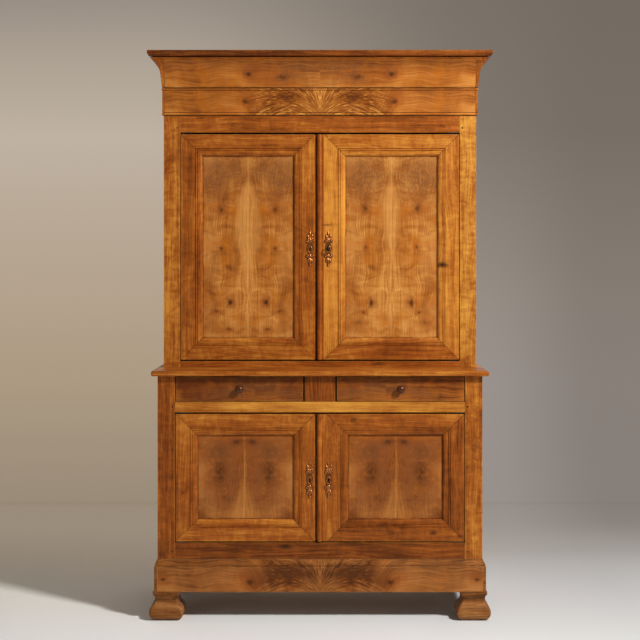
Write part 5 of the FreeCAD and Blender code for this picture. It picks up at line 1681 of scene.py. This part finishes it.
@dataclass
class Escutcheon:
    """Stamped key plate: a spear of leaves above and below a rimmed keyhole.

    Args:
        key: the door that it is on.
        keyhole: across and height of the keyhole.
        front: front plane of the door.
        hole: outline of the keyhole.
        thick: thickness of the plate.
        edge: right half of the plate's outline.
        leaf: section of a leaf.
        curl: section of a ring of leaf.
        rim: section of the rim round the keyhole.
    """

    key: str
    keyhole: tuple[float, float]
    front: float
    hole: Outline
    thick: float = 0.002
    edge: Outline = Outline((
        (0.0, 0.0715), (0.0045, 0.0640, 0.016, Turn.RIGHT), (0.0060, 0.0570, 0.014, Turn.LEFT),
        (0.0120, 0.0470, 0.013, Turn.RIGHT), (0.0090, 0.0370, 0.012, Turn.RIGHT),
        (0.0150, 0.0345, 0.007, Turn.LEFT), (0.0150, 0.0235, 0.0062, Turn.RIGHT),
        (0.0095, 0.0185, 0.008, Turn.LEFT), (0.0130, 0.0080, 0.020, Turn.RIGHT),
        (0.0105, -0.0130, 0.028, Turn.RIGHT), (0.0085, -0.0215, 0.012, Turn.LEFT),
        (0.0150, -0.0265, 0.0072, Turn.RIGHT), (0.0150, -0.0375, 0.0062, Turn.RIGHT),
        (0.0110, -0.0420, 0.006, Turn.LEFT), (0.0125, -0.0500, 0.011, Turn.RIGHT),
        (0.0050, -0.0620, 0.018, Turn.RIGHT), (0.0048, -0.0700, 0.006, Turn.RIGHT),
        (0.0, -0.0755, 0.0056, Turn.RIGHT)), 24.0)
    leaf: Outline = Outline(((0.0, 0.0028), (0.0042, 0.0, 0.0050, Turn.RIGHT),
                             (0.0042, -0.0008), (0.0, -0.0008)), 22.0)
    curl: Outline = Outline(((0.0022, 0.0), (0.0042, 0.0022, 0.0021, Turn.RIGHT),
                             (0.0062, 0.0, 0.0021, Turn.RIGHT), (0.0062, -0.0008),
                             (0.0022, -0.0008)), 30.0)
    rim: Outline = Outline(((0.0070, 0.0), (0.0082, 0.0014, 0.0014, Turn.RIGHT),
                            (0.0096, 0.0, 0.0014, Turn.RIGHT), (0.0096, -0.0008),
                            (0.0070, -0.0008)), 30.0)

    def build(self) -> None:
        """Build the plate."""
        piece = Piece(self.key + "_key_plate")
        middle = Vector((self.keyhole[0], self.front, self.keyhole[1]))
        self.plate(piece, middle)
        face = middle - Y_WAY * self.thick
        raised = Stock(Grain.UPRIGHT, 0.0, 0.8)
        # leaves of the spear, the lower lobe and its drop: x, z, taller, wider, lean
        for x, z, tall, wide, lean in (
                (0.0, 0.0560, 3.4, 1.0, 0.0), (0.0068, 0.0480, 2.4, 1.0, 24.0),
                (0.0072, 0.0385, 1.4, 0.95, 52.0), (0.0, 0.0340, 2.2, 1.3, 0.0),
                (0.0, -0.0530, 3.2, 1.05, 0.0), (0.0070, -0.0500, 2.4, 1.0, -22.0),
                (0.0, -0.0310, 2.0, 1.25, 0.0), (0.0, -0.0705, 1.05, 1.05, 0.0)):
            for side in (1, -1) if x else (1,):
                piece.boss(self.leaf, face + Vector((side * x, 0.0, z)), tall, wide, side * lean,
                           raised)
        for x, z in ((0.0098, 0.0288), (0.0098, -0.0322)):
            for side in (1, -1):
                origin = face + Vector((side * x, 0.0, z))
                piece.boss(self.curl, origin, 1.0, 0.95, 0.0, raised, True)
                piece.boss(self.leaf, origin, 0.4, 0.4, 0.0, raised)
        piece.boss(self.rim, face - Z_WAY * 0.0040, 1.62, 1.0, 0.0, raised, True)
        piece.finish(self.key, [self.key + "_escutcheon"], BRASS)

    def plate(self, piece: Piece, middle: Vector) -> None:
        """Add the pierced plate that the forms stand on.

        Args:
            piece: the piece being built.
            middle: the keyhole's middle on the door.
        """
        bm = piece.bm
        chain = self.edge.trace(bm)
        half = edges_at(chain)
        bmesh.ops.mirror(bm, geom=chain + half, matrix=Matrix.Identity(4), merge_dist=1e-6, axis="X")
        chain = self.hole.trace(bm)
        bm.edges.new((chain[-1], chain[0]))
        for v in bm.verts:
            v.co = middle + Vector((v.co.x, 0.0, v.co.y))
        made = bmesh.ops.triangle_fill(bm, use_beauty=True, edges=list(bm.edges))["geom"]
        faces = [g for g in made if isinstance(g, BMFace)]
        top = bmesh.ops.extrude_face_region(bm, geom=faces)["geom"]
        bmesh.ops.translate(bm, vec=-Y_WAY * self.thick,
                            verts=[g for g in top if isinstance(g, BMVert)])
        piece.face_out()
        piece.season(Stock(Grain.UPRIGHT, 0.0, -0.35))


@dataclass
class Key:
    """Forged key with a ring bow, a filed collar and a notched bit.

    Args:
        x: its axis, across.
        z: its axis, in height.
        bow_y: middle of the bow, in depth.
        bit_y: front of the bit.
        bow: section of the ring.
        shank: section of the collar and the shank.
    """

    x: float = 0.035
    z: float = 1.4865
    bow_y: float = UPPER_Y - 0.0194
    bit_y: float = UPPER_Y + 0.0292
    bow: Outline = Outline((
        (0.0066, 0.0), (0.0094, 0.0030, 0.0030, Turn.RIGHT), (0.0122, 0.0, 0.0030, Turn.RIGHT),
        (0.0094, -0.0030, 0.0030, Turn.RIGHT), (0.0068, -0.0013, 0.0032, Turn.RIGHT)), 24.0)
    shank: Outline = Outline((
        (0.0, 0.0066), (0.0026, 0.0072), (0.0042, 0.0094), (0.0068, 0.0104, 0.0014, Turn.RIGHT),
        (0.0068, 0.0120, 0.0012, Turn.RIGHT), (0.0052, 0.0128), (0.0052, 0.0136),
        (0.0031, 0.0146), (0.0031, 0.0566), (0.0, 0.0568)), 24.0)

    def build(self) -> None:
        """Build the key."""
        piece = Piece("forged_key")
        iron = Stock(Grain.DEEP, 0.0, 0.2)
        middle = Vector((self.x, self.bow_y, self.z))
        piece.lathe(self.bow, middle, X_WAY, Z_WAY, 32, True)
        piece.face_out()
        piece.season(iron)
        piece.turned(self.shank, middle, Y_WAY, X_WAY, iron, 20)
        for low, high, near, far in ((-0.0075, 0.0, 0.0, 0.0074), (-0.0118, -0.0075, 0.0, 0.0028),
                                     (-0.0118, -0.0075, 0.0046, 0.0074)):
            piece.board((self.x - 0.0014, self.bit_y + near, self.z + low),
                        (self.x + 0.0014, self.bit_y + far, self.z + high), iron, 0.0003)
        piece.finish("key", ["key"], IRON)


@dataclass
class Screws:
    """Round screw heads on the lock cases and on the straps of the slide bolts.

    Args:
        head: section of a head.
        case_x: places across, on a lock case.
        case_z: places in height from the keyhole, on a lock case.
        case_y: face of the lock case behind the door's front.
        strap_x: places across, on a strap.
        strap_y: face of the straps behind the door's front.
        strap_z: places of the straps, down from the door's head.
    """

    head: Outline = Outline(((0.0, 0.00005), (0.0030, 0.00005), (0.0030, 0.0004),
                             (0.0, 0.0014, 0.0045, Turn.LEFT)), 15.0)
    case_x: tuple[float, float] = (-0.004, 0.064)
    case_z: tuple[float, float] = (-0.034, 0.044)
    case_y: float = 0.042
    strap_x: tuple[float, float] = (-0.0577, -0.0363)
    strap_y: float = 0.028
    strap_z: tuple[float, float] = (0.0155, 0.0595)

    def build(self, door: Door) -> None:
        """Build the screws of one door.

        Args:
            door: the door that they are in.
        """
        piece = Piece(door.key + "_screws")
        if door.side > 0:
            places = [(x, self.case_y, door.keyhole[1] + z) for x in self.case_x for z in self.case_z]
        else:
            places = [(x, self.strap_y, door.high - z) for x in self.strap_x for z in self.strap_z]
        for number, (x, y, z) in enumerate(places):
            piece.turned(self.head, Vector((x, door.front + y, z)), Y_WAY, X_WAY,
                         Stock(Grain.DEEP, float(number), 0.5), 14)
        piece.finish(door.key, [], IRON)


@dataclass
class Drawer:
    """One drawer: figured front, box and turned knob.

    Args:
        key: the body's name.
        side: -1 for the left one, 1 for the right one.
        near: its edge by the divider.
        far: its edge by the post.
        low: lower edge of the front.
        high: upper edge of the front.
        thick: thickness of the front.
        length: from the front plane to the back of the box.
        wall: thickness of the box's sides and back.
        box_low: underside of its sides.
        box_high: their upper edge.
        bottom: underside and top of its bottom board.
        tails: heights of the dovetails.
        tail: outline of a dovetail, seen from the side.
        tail_deep: how far a dovetail goes into the side.
        knob: section of the knob.
    """

    key: str
    side: int
    near: float = 0.0675
    far: float = 0.577
    low: float = 0.872
    high: float = 0.969
    thick: float = 0.022
    length: float = 0.470
    wall: float = 0.012
    box_low: float = 0.8703
    box_high: float = 0.9523
    bottom: tuple[float, float] = (0.8783, 0.8863)
    tails: tuple[float, ...] = (0.8835, 0.9115, 0.9395)
    tail_deep: float = 0.002
    tail: Outline = Outline(((0.0, -0.0060), (-0.0155, -0.0090), (-0.0155, 0.0090), (0.0, 0.0060)))
    knob: Outline = Outline((
        (0.0, -0.002), (0.009, -0.002), (0.009, 0.0), (0.009, 0.0028),
        (0.0078, 0.004, 0.0016, Turn.LEFT), (0.0065, 0.010, 0.009, Turn.RIGHT),
        (0.0150, 0.0160, 0.011, Turn.RIGHT), (0.0160, 0.0185, 0.003, Turn.LEFT),
        (0.0035, 0.0272, 0.0165, Turn.LEFT), (0.0, 0.0280, 0.008, Turn.LEFT)))

    def build(self) -> None:
        """Build the drawer."""
        left, right = sorted((self.side * self.near, self.side * self.far))
        across, up = (left + right) / 2, (self.low + self.high) / 2
        y, seed = BASE_Y + self.thick, 160.0 + self.side
        face = Piece(self.key + "_figured_front")
        face.board((left + 0.0002, BASE_Y, self.low), (right - 0.0002, y, self.high),
                   Stock(Grain.LEVEL, seed, -0.8 + 0.15 * self.side, 0.35, 0.25), 0.001)
        figure = Figure(across - self.side * 0.06, up, 0.05, level=True,
                        amber=0.3, spots=(Spot(0.03, 0.01, 0.05, 0.016, 0.0, 0.6, 0.4),
                                          Spot(0.13, -0.02, 0.05, 0.012, 0.0, 0.6, 0.35)))
        face.finish(self.key, [self.key + "_front"], figured("figured_cherry_" + self.key, figure))
        self.box(left, right, seed)
        knob = Piece(self.key + "_turned_knob")
        knob.turned(self.knob, Vector((across, BASE_Y, up)), -Y_WAY, X_WAY,
                    Stock(Grain.DEEP, seed + 8, 0.0, 0.1, 0.3), 40)
        knob.finish(self.key, [self.key + "_knob"], DARK)

    def box(self, left: float, right: float, seed: float) -> None:
        """Build the box behind the front, with the dovetails that hold its sides.

        Args:
            left: its left side.
            right: its right side.
            seed: sets its timber apart.
        """
        box = Piece(self.key + "_dovetailed_box")
        y, back = BASE_Y + self.thick, BASE_Y + self.length
        for number, x in enumerate((left, right - self.wall)):
            box.board((x, y, self.box_low), (x + self.wall, back, self.box_high),
                      Stock(Grain.DEEP, seed + 3 + number, 0.1, 0.1, 0.1), 0.001)
        for start, end in ((left, left + self.tail_deep), (right, right - self.tail_deep)):
            for z in self.tails:
                box.sweep(self.tail, [Station(Vector((x, y, z)), Y_WAY) for x in (start, end)],
                          Stock(Grain.DEEP, seed + 9 + z, -0.1, 0.0, 0.1), 0.0)
        low, top = self.bottom
        box.board((left + self.wall, y, low), (right - self.wall, back, top),
                  Stock(Grain.SHELF, seed + 5, 0.1, 0.1, 0.1), 0.0004)
        box.board((left + self.wall, back - self.wall, top), (right - self.wall, back, self.box_high),
                  Stock(Grain.LEVEL, seed + 6, 0.0, 0.1, 0.1), 0.001)
        box.finish(self.key, [self.key + "_box"], POPLAR)


class Cabinet:
    """The whole cabinet, from the floor up."""

    def __init__(self) -> None:
        """Set out the doors."""
        left_flame = ((0.0, 0.018), (0.08, 0.008), (0.21, 0.007), (0.29, 0.014), (0.40, 0.030),
                      (0.51, 0.046), (0.62, 0.064), (0.76, 0.044), (0.83, 0.027), (0.90, 0.004),
                      (1.0, 0.001))
        right_flame = ((0.0, 0.006), (0.30, 0.004), (0.42, 0.012), (0.52, 0.022), (0.60, 0.040),
                       (0.72, 0.044), (0.80, 0.036), (0.86, 0.016), (0.93, 0.006), (1.0, 0.016))
        cone = ((0.0, 0.074), (0.20, 0.052), (0.43, 0.018), (0.60, 0.010), (0.80, 0.014), (1.0, 0.004))
        lower_spots = (
            Spot(0.098, 0.020, 0.034, 0.056, 0.75, 0.5, 0.32, 1.5),
            Spot(0.032, 0.138, 0.026, 0.013, 0.75, 0.7, 0.3, 0.5),
            Spot(0.100, 0.112, 0.036, 0.022, 0.3, 0.8, 0.5, 0.6),
            Spot(0.040, -0.010, 0.018, 0.060, 0.0, 0.35, 0.3, 0.5),
            Spot(0.104, -0.096, 0.030, 0.034, 0.0, 0.4, 0.3))
        self.doors = [
            Door("upper_left_door", -1, True, -0.574, -0.020, 1.0275, 1.957, 0.090,
                 (-0.041, 1.4865), Figure(-0.297, 1.492, 0.375, left_flame, (
                     Spot(0.114, 0.158, 0.009, 0.011, 0.95, 0.9, 0.22, 0.5),
                     Spot(0.111, -0.009, 0.005, 0.007, 0.9),
                     Spot(0.070, -0.227, 0.009, 0.011, 1.0, 0.9, 0.22, 0.5),
                     Spot(0.132, -0.268, 0.009, 0.005, 0.7), Spot(0.080, -0.338, 0.013, 0.005, 0.7),
                     Spot(0.143, 0.288, 0.036, 0.050, 0.05, 0.9, 0.55, 0.8),
                     Spot(0.050, 0.325, 0.038, 0.042, 0.0, 0.6, 0.45, 0.4))),
                 tone=(0.05, 0.1, -0.15, 0.1, 0.1)),
            Door("upper_right_door", 1, True, 0.0157, 0.574, 1.0275, 1.957, 0.090,
                 (0.035, 1.4865), Figure(0.2949, 1.492, 0.375, right_flame, (
                     Spot(0.111, 0.162, 0.009, 0.012, 0.95, 0.9, 0.22, 0.5),
                     Spot(0.106, -0.002, 0.005, 0.007, 0.9),
                     Spot(0.080, -0.229, 0.009, 0.011, 1.0, 0.9, 0.22, 0.5),
                     Spot(0.113, -0.270, 0.005, 0.006, 0.9), Spot(0.134, -0.306, 0.016, 0.006, 0.5),
                     Spot(0.143, 0.288, 0.036, 0.050, 0.05, 0.9, 0.55, 0.8),
                     Spot(0.058, 0.300, 0.036, 0.052, 0.0, 0.6, 0.4, 0.7))),
                 tone=(0.05, 0.35, 0.2, 0.8, 0.3)),
            Door("lower_left_door", -1, False, -0.577, -0.020, 0.312, 0.821, 0.0875,
                 (-0.041, 0.560), Figure(-0.303, 0.5665, 0.167, cone, lower_spots, False, None,
                                     0.3, 0.75, 0.4),
                 tone=(0.15, 0.0, 0.2, -0.1, -0.35)),
            Door("lower_right_door", 1, False, 0.0266, 0.577, 0.312, 0.821, 0.0875,
                 (0.035, 0.560), Figure(0.305, 0.5665, 0.167, cone, lower_spots, False, None,
                                    0.22, 0.5, 0.8),
                 tone=(-0.3, -0.35, -0.15, -0.1, -0.45)),
        ]

    def build(self) -> None:
        """Build every sub-assembly, then dress what is still bare."""
        for part in (Stand(), BaseCarcass(), UpperCarcass(), Shelving(), Crown()):
            part.build()
        for door in self.doors:
            door.build()
            Screws().build(door)
        Key().build()
        for key, side in (("left_drawer", -1), ("right_drawer", 1)):
            Drawer(key, side).build()
        self.pegs()
        self.dress()

    def pegs(self) -> None:
        """Build the pegs that show in the posts."""
        piece = Piece("frame_peg_set")
        seed = 200.0
        for side in (-1, 1):
            for x, z, front in ((0.591, 0.272, BASE_Y), (0.591, 0.850, BASE_Y),
                                (0.588, 1.984, UPPER_Y)):
                seed += 1
                Peg(side * x, z, front).add_to(piece, seed)
        piece.finish("carcass", ["frame_pegs"], DARK, Slot.PLAIN)

    def dress(self) -> None:
        """Give the nodes that still show their finish."""
        slots = {Slot.BRASS.value: BRASS, Slot.IRON.value: IRON}
        for part in frame["record"]["subparts"]:
            node = frame["nodes"][part["node"]]
            if not node.hide_render:
                node.data.materials.clear()
                node.data.materials.append(slots.get(part["material_slot"], CHERRY).made())
                LOG.info("%s keeps its solid", part["node"])


@dataclass
class Studio:
    """Pale floor and a backdrop with painted light and shade, soft lamps and the camera.

    Args:
        distance: from the camera to the lower body's front.
        eye: height of the camera.
        lens: focal length, in millimetres.
        shift: how far the picture is shifted up, in widths of it.
        reach: half width of the floor.
        wall_y: where the wall stands.
        rise: how far it goes on above the bend.
        bend: radius of the bend between them.
        air: strength of the air's light on the scene.
        distant: its strength where the camera sees past the wall.
    """

    distance: float = 5.0
    eye: float = 1.41
    lens: float = 70.3
    shift: float = -0.083
    reach: float = 9.0
    wall_y: float = 2.3
    rise: float = 5.0
    bend: float = 0.7
    air: float = 0.16
    distant: float = 0.62

    def build(self) -> None:
        """Build the studio."""
        self.ground()
        self.lamps()
        data = bpy.data.cameras.new("studio_camera")
        data.lens, data.sensor_width, data.shift_y = self.lens, 36.0, self.shift
        data.clip_start, data.clip_end = 0.1, 60.0
        camera = bpy.data.objects.new("studio_camera", data)
        camera.location = (0.0, BASE_Y - self.distance, self.eye)
        camera.rotation_euler = (math.radians(90), 0.0, 0.0)
        bpy.context.scene.collection.objects.link(camera)
        bpy.context.scene.camera = camera
        bpy.context.scene.view_settings.view_transform = "Standard"

    def ground(self) -> None:
        """Build a sweep of floor and wall, and light the air a little."""
        bm = bmesh.new()
        edge = bm.edges.new([bm.verts.new((x, -self.reach, 0.0)) for x in (-self.reach, self.reach)])
        for way in (Y_WAY * (self.wall_y - self.bend + self.reach), None, Z_WAY * self.rise):
            if way is None:
                made = bmesh.ops.spin(
                    bm, geom=[edge, *edge.verts], axis=X_WAY, angle=math.radians(90), steps=16,
                    cent=(0.0, self.wall_y - self.bend, self.bend),
                    use_duplicate=False)["geom_last"]
            else:
                made = bmesh.ops.extrude_edge_only(bm, edges=[edge])["geom"]
                bmesh.ops.translate(bm, vec=way, verts=[g for g in made if isinstance(g, BMVert)])
            edge = next(g for g in made if isinstance(g, BMEdge))
        bmesh.ops.reverse_faces(bm, faces=bm.faces[:])
        mesh = bpy.data.meshes.new("studio_sweep")
        bm.to_mesh(mesh)
        bm.free()
        mesh.shade_smooth()
        sweep = bpy.data.objects.new("studio_sweep", mesh)
        bpy.context.scene.collection.objects.link(sweep)
        mesh.materials.append(self.paper())
        world = bpy.data.worlds.new("studio_air")
        bpy.context.scene.world = world
        world.use_nodes = True
        air = world.node_tree.nodes["Background"]
        air.inputs[0].default_value = linear("#f6f4f2")
        path = world.node_tree.nodes.new("ShaderNodeLightPath")
        bright = world.node_tree.nodes.new("ShaderNodeMapRange")
        bright.inputs[3].default_value, bright.inputs[4].default_value = self.air, self.distant
        world.node_tree.links.new(path.outputs["Is Camera Ray"], bright.inputs[0])
        world.node_tree.links.new(bright.outputs[0], air.inputs[1])

    def paper(self) -> bpy.types.Material:
        """Pale floor that turns into a warm grey wall, lighter at the left, with painted light and
        shade: the wall glows for the camera and is painted darker to the right, and the floor is
        painted darker to the back and the right and lighter and warmer at the left.

        Returns:
            The backdrop's material.
        """
        mix = Recipe("painted_backdrop")
        here = mix.add("SeparateXYZ", None, [mix.add("TexCoord").outputs["Object"]])
        height = mix.add("MapRange", None, [here.outputs[2], 0.0, 3.0])
        # painted light and shade of the wall by height, at its left and at its right, with a painted
        # dark line low down where it bends into the floor
        left = mix.add("ValToRGB", {"ramp": [
            (0.0, "#9b8d7c"), (0.0187, "#9a8b79"), (0.0207, "#92816b"),
            (0.0227, "#9a8b79"), (0.24, "#ac9a82"), (0.56, "#b9a895"),
            (0.73, "#bfb2a3"), (0.89, "#ada193"), (1.0, "#9a9086")]},
            [height])
        right = mix.add("ValToRGB", {"ramp": [
            (0.0, "#9a928d"), (0.0187, "#98908b"), (0.0207, "#90877d"),
            (0.0227, "#98908b"), (0.24, "#9a918c"), (0.4, "#968d85"),
            (0.56, "#8c837a"), (0.75, "#7e756c"), (1.0, "#797067")]},
            [height])
        side = mix.add("MapRange", "SMOOTHSTEP", [here.outputs[0], -1.1, 1.1])
        wall = mix.add("MixRGB", None, [side, left, right])
        # painted shade: the wall darker towards the right
        painted_right_shade = mix.add("MapRange", "SMOOTHSTEP", [here.outputs[0], 0.95, 1.7, 0.0, 0.46])
        wall = mix.add("MixRGB", None, [painted_right_shade, wall, "#6e655c"])
        # the wall's painted light glows for the camera
        paint = mix.add("Emission", None, [wall])
        # painted falloff of the floor's light: darker towards the back
        away = mix.add("MapRange", None, [here.outputs[1], -0.9, 1.9])
        tint = mix.add("ValToRGB", {"ramp": [
            (0.14, "#eaece8"), (0.33, "#dadadb"), (0.51, "#cdcccb"),
            (0.66, "#c3c0bc"), (0.83, "#c9c6c2")]}, [away])
        # painted light on the floor at the left: lighter and warmer
        warm = mix.add("ValToRGB", {"ramp": [
            (0.0, "#ffffff"), (0.28, "#fdf9f4"), (0.5, "#fcf6ea"),
            (1.0, "#f4e6d4")]}, [away])
        tint = mix.add("MixRGB", None, [side, warm, tint])
        # painted shade on the floor: darker towards the right
        fall = mix.add("MapRange", None, [here.outputs[0], 0.35, 1.3, 0.0, 0.3])
        tint = mix.add("MixRGB", None, [fall, tint, "#8f8a86"])
        grain = mix.add("TexNoise", None, {"Scale": 14.0, "Detail": 4.0})
        dusty = mix.add("MixRGB", "MULTIPLY", [0.3, tint, grain.outputs["Color"]])
        dusty = mix.add("MixRGB", None, [0.8, dusty, tint])
        floor = mix.add("BsdfPrincipled", None, {"Base Color": dusty, "Roughness": 0.7})
        # behind the cabinet and up the bend the camera sees the painted wall in place of the lit floor
        path = mix.add("LightPath")
        rise = mix.add("MapRange", "SMOOTHSTEP", [here.outputs[2], 0.0, 0.45])
        deep = mix.add("Math", "MULTIPLY_ADD", [side, -0.3, here.outputs[1]])
        back = mix.add("MapRange", "SMOOTHSTEP", [deep, 0.25, 1.6])
        most = mix.add("Math", "MAXIMUM", [rise, back])
        seen = mix.add("Math", "MULTIPLY", [most, path.outputs["Is Camera Ray"]])
        sheet = mix.add("MixShader", None, [seen, floor, paint])
        reverse = mix.add("NewGeometry").outputs["Backfacing"]
        gone = mix.add("Math", "MULTIPLY", [reverse, path.outputs["Is Camera Ray"]])
        nothing = mix.add("BsdfTransparent")
        mix.add("OutputMaterial", None, [mix.add("MixShader", None, [gone, sheet, nothing])])
        return mix.material

    def lamps(self) -> None:
        """Hang a broad lamp at the upper right and a weaker one at the left."""
        for name, place, aim, size, power in (
                ("key_lamp", (3.1, -2.9, 3.9), (0.1, -0.2, 1.15), 0.6, 300.0),
                ("fill_lamp", (-3.2, -4.2, 1.8), (0.0, -0.2, 1.1), 2.6, 17.0)):
            data = bpy.data.lights.new(name, "AREA")
            data.shape, data.size, data.energy = "SQUARE", size, power
            lamp = bpy.data.objects.new(name, data)
            lamp.location = place
            lamp.rotation_euler = (Vector(aim) - Vector(place)).to_track_quat("-Z", "Y").to_euler()
            bpy.context.scene.collection.objects.link(lamp)


def main() -> None:
    """Build the cabinet and its studio."""
    logging.basicConfig(level=logging.INFO, format="%(message)s")
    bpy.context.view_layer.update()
    Cabinet().build()
    Studio().build()


if __name__ == "__main__":
    main()
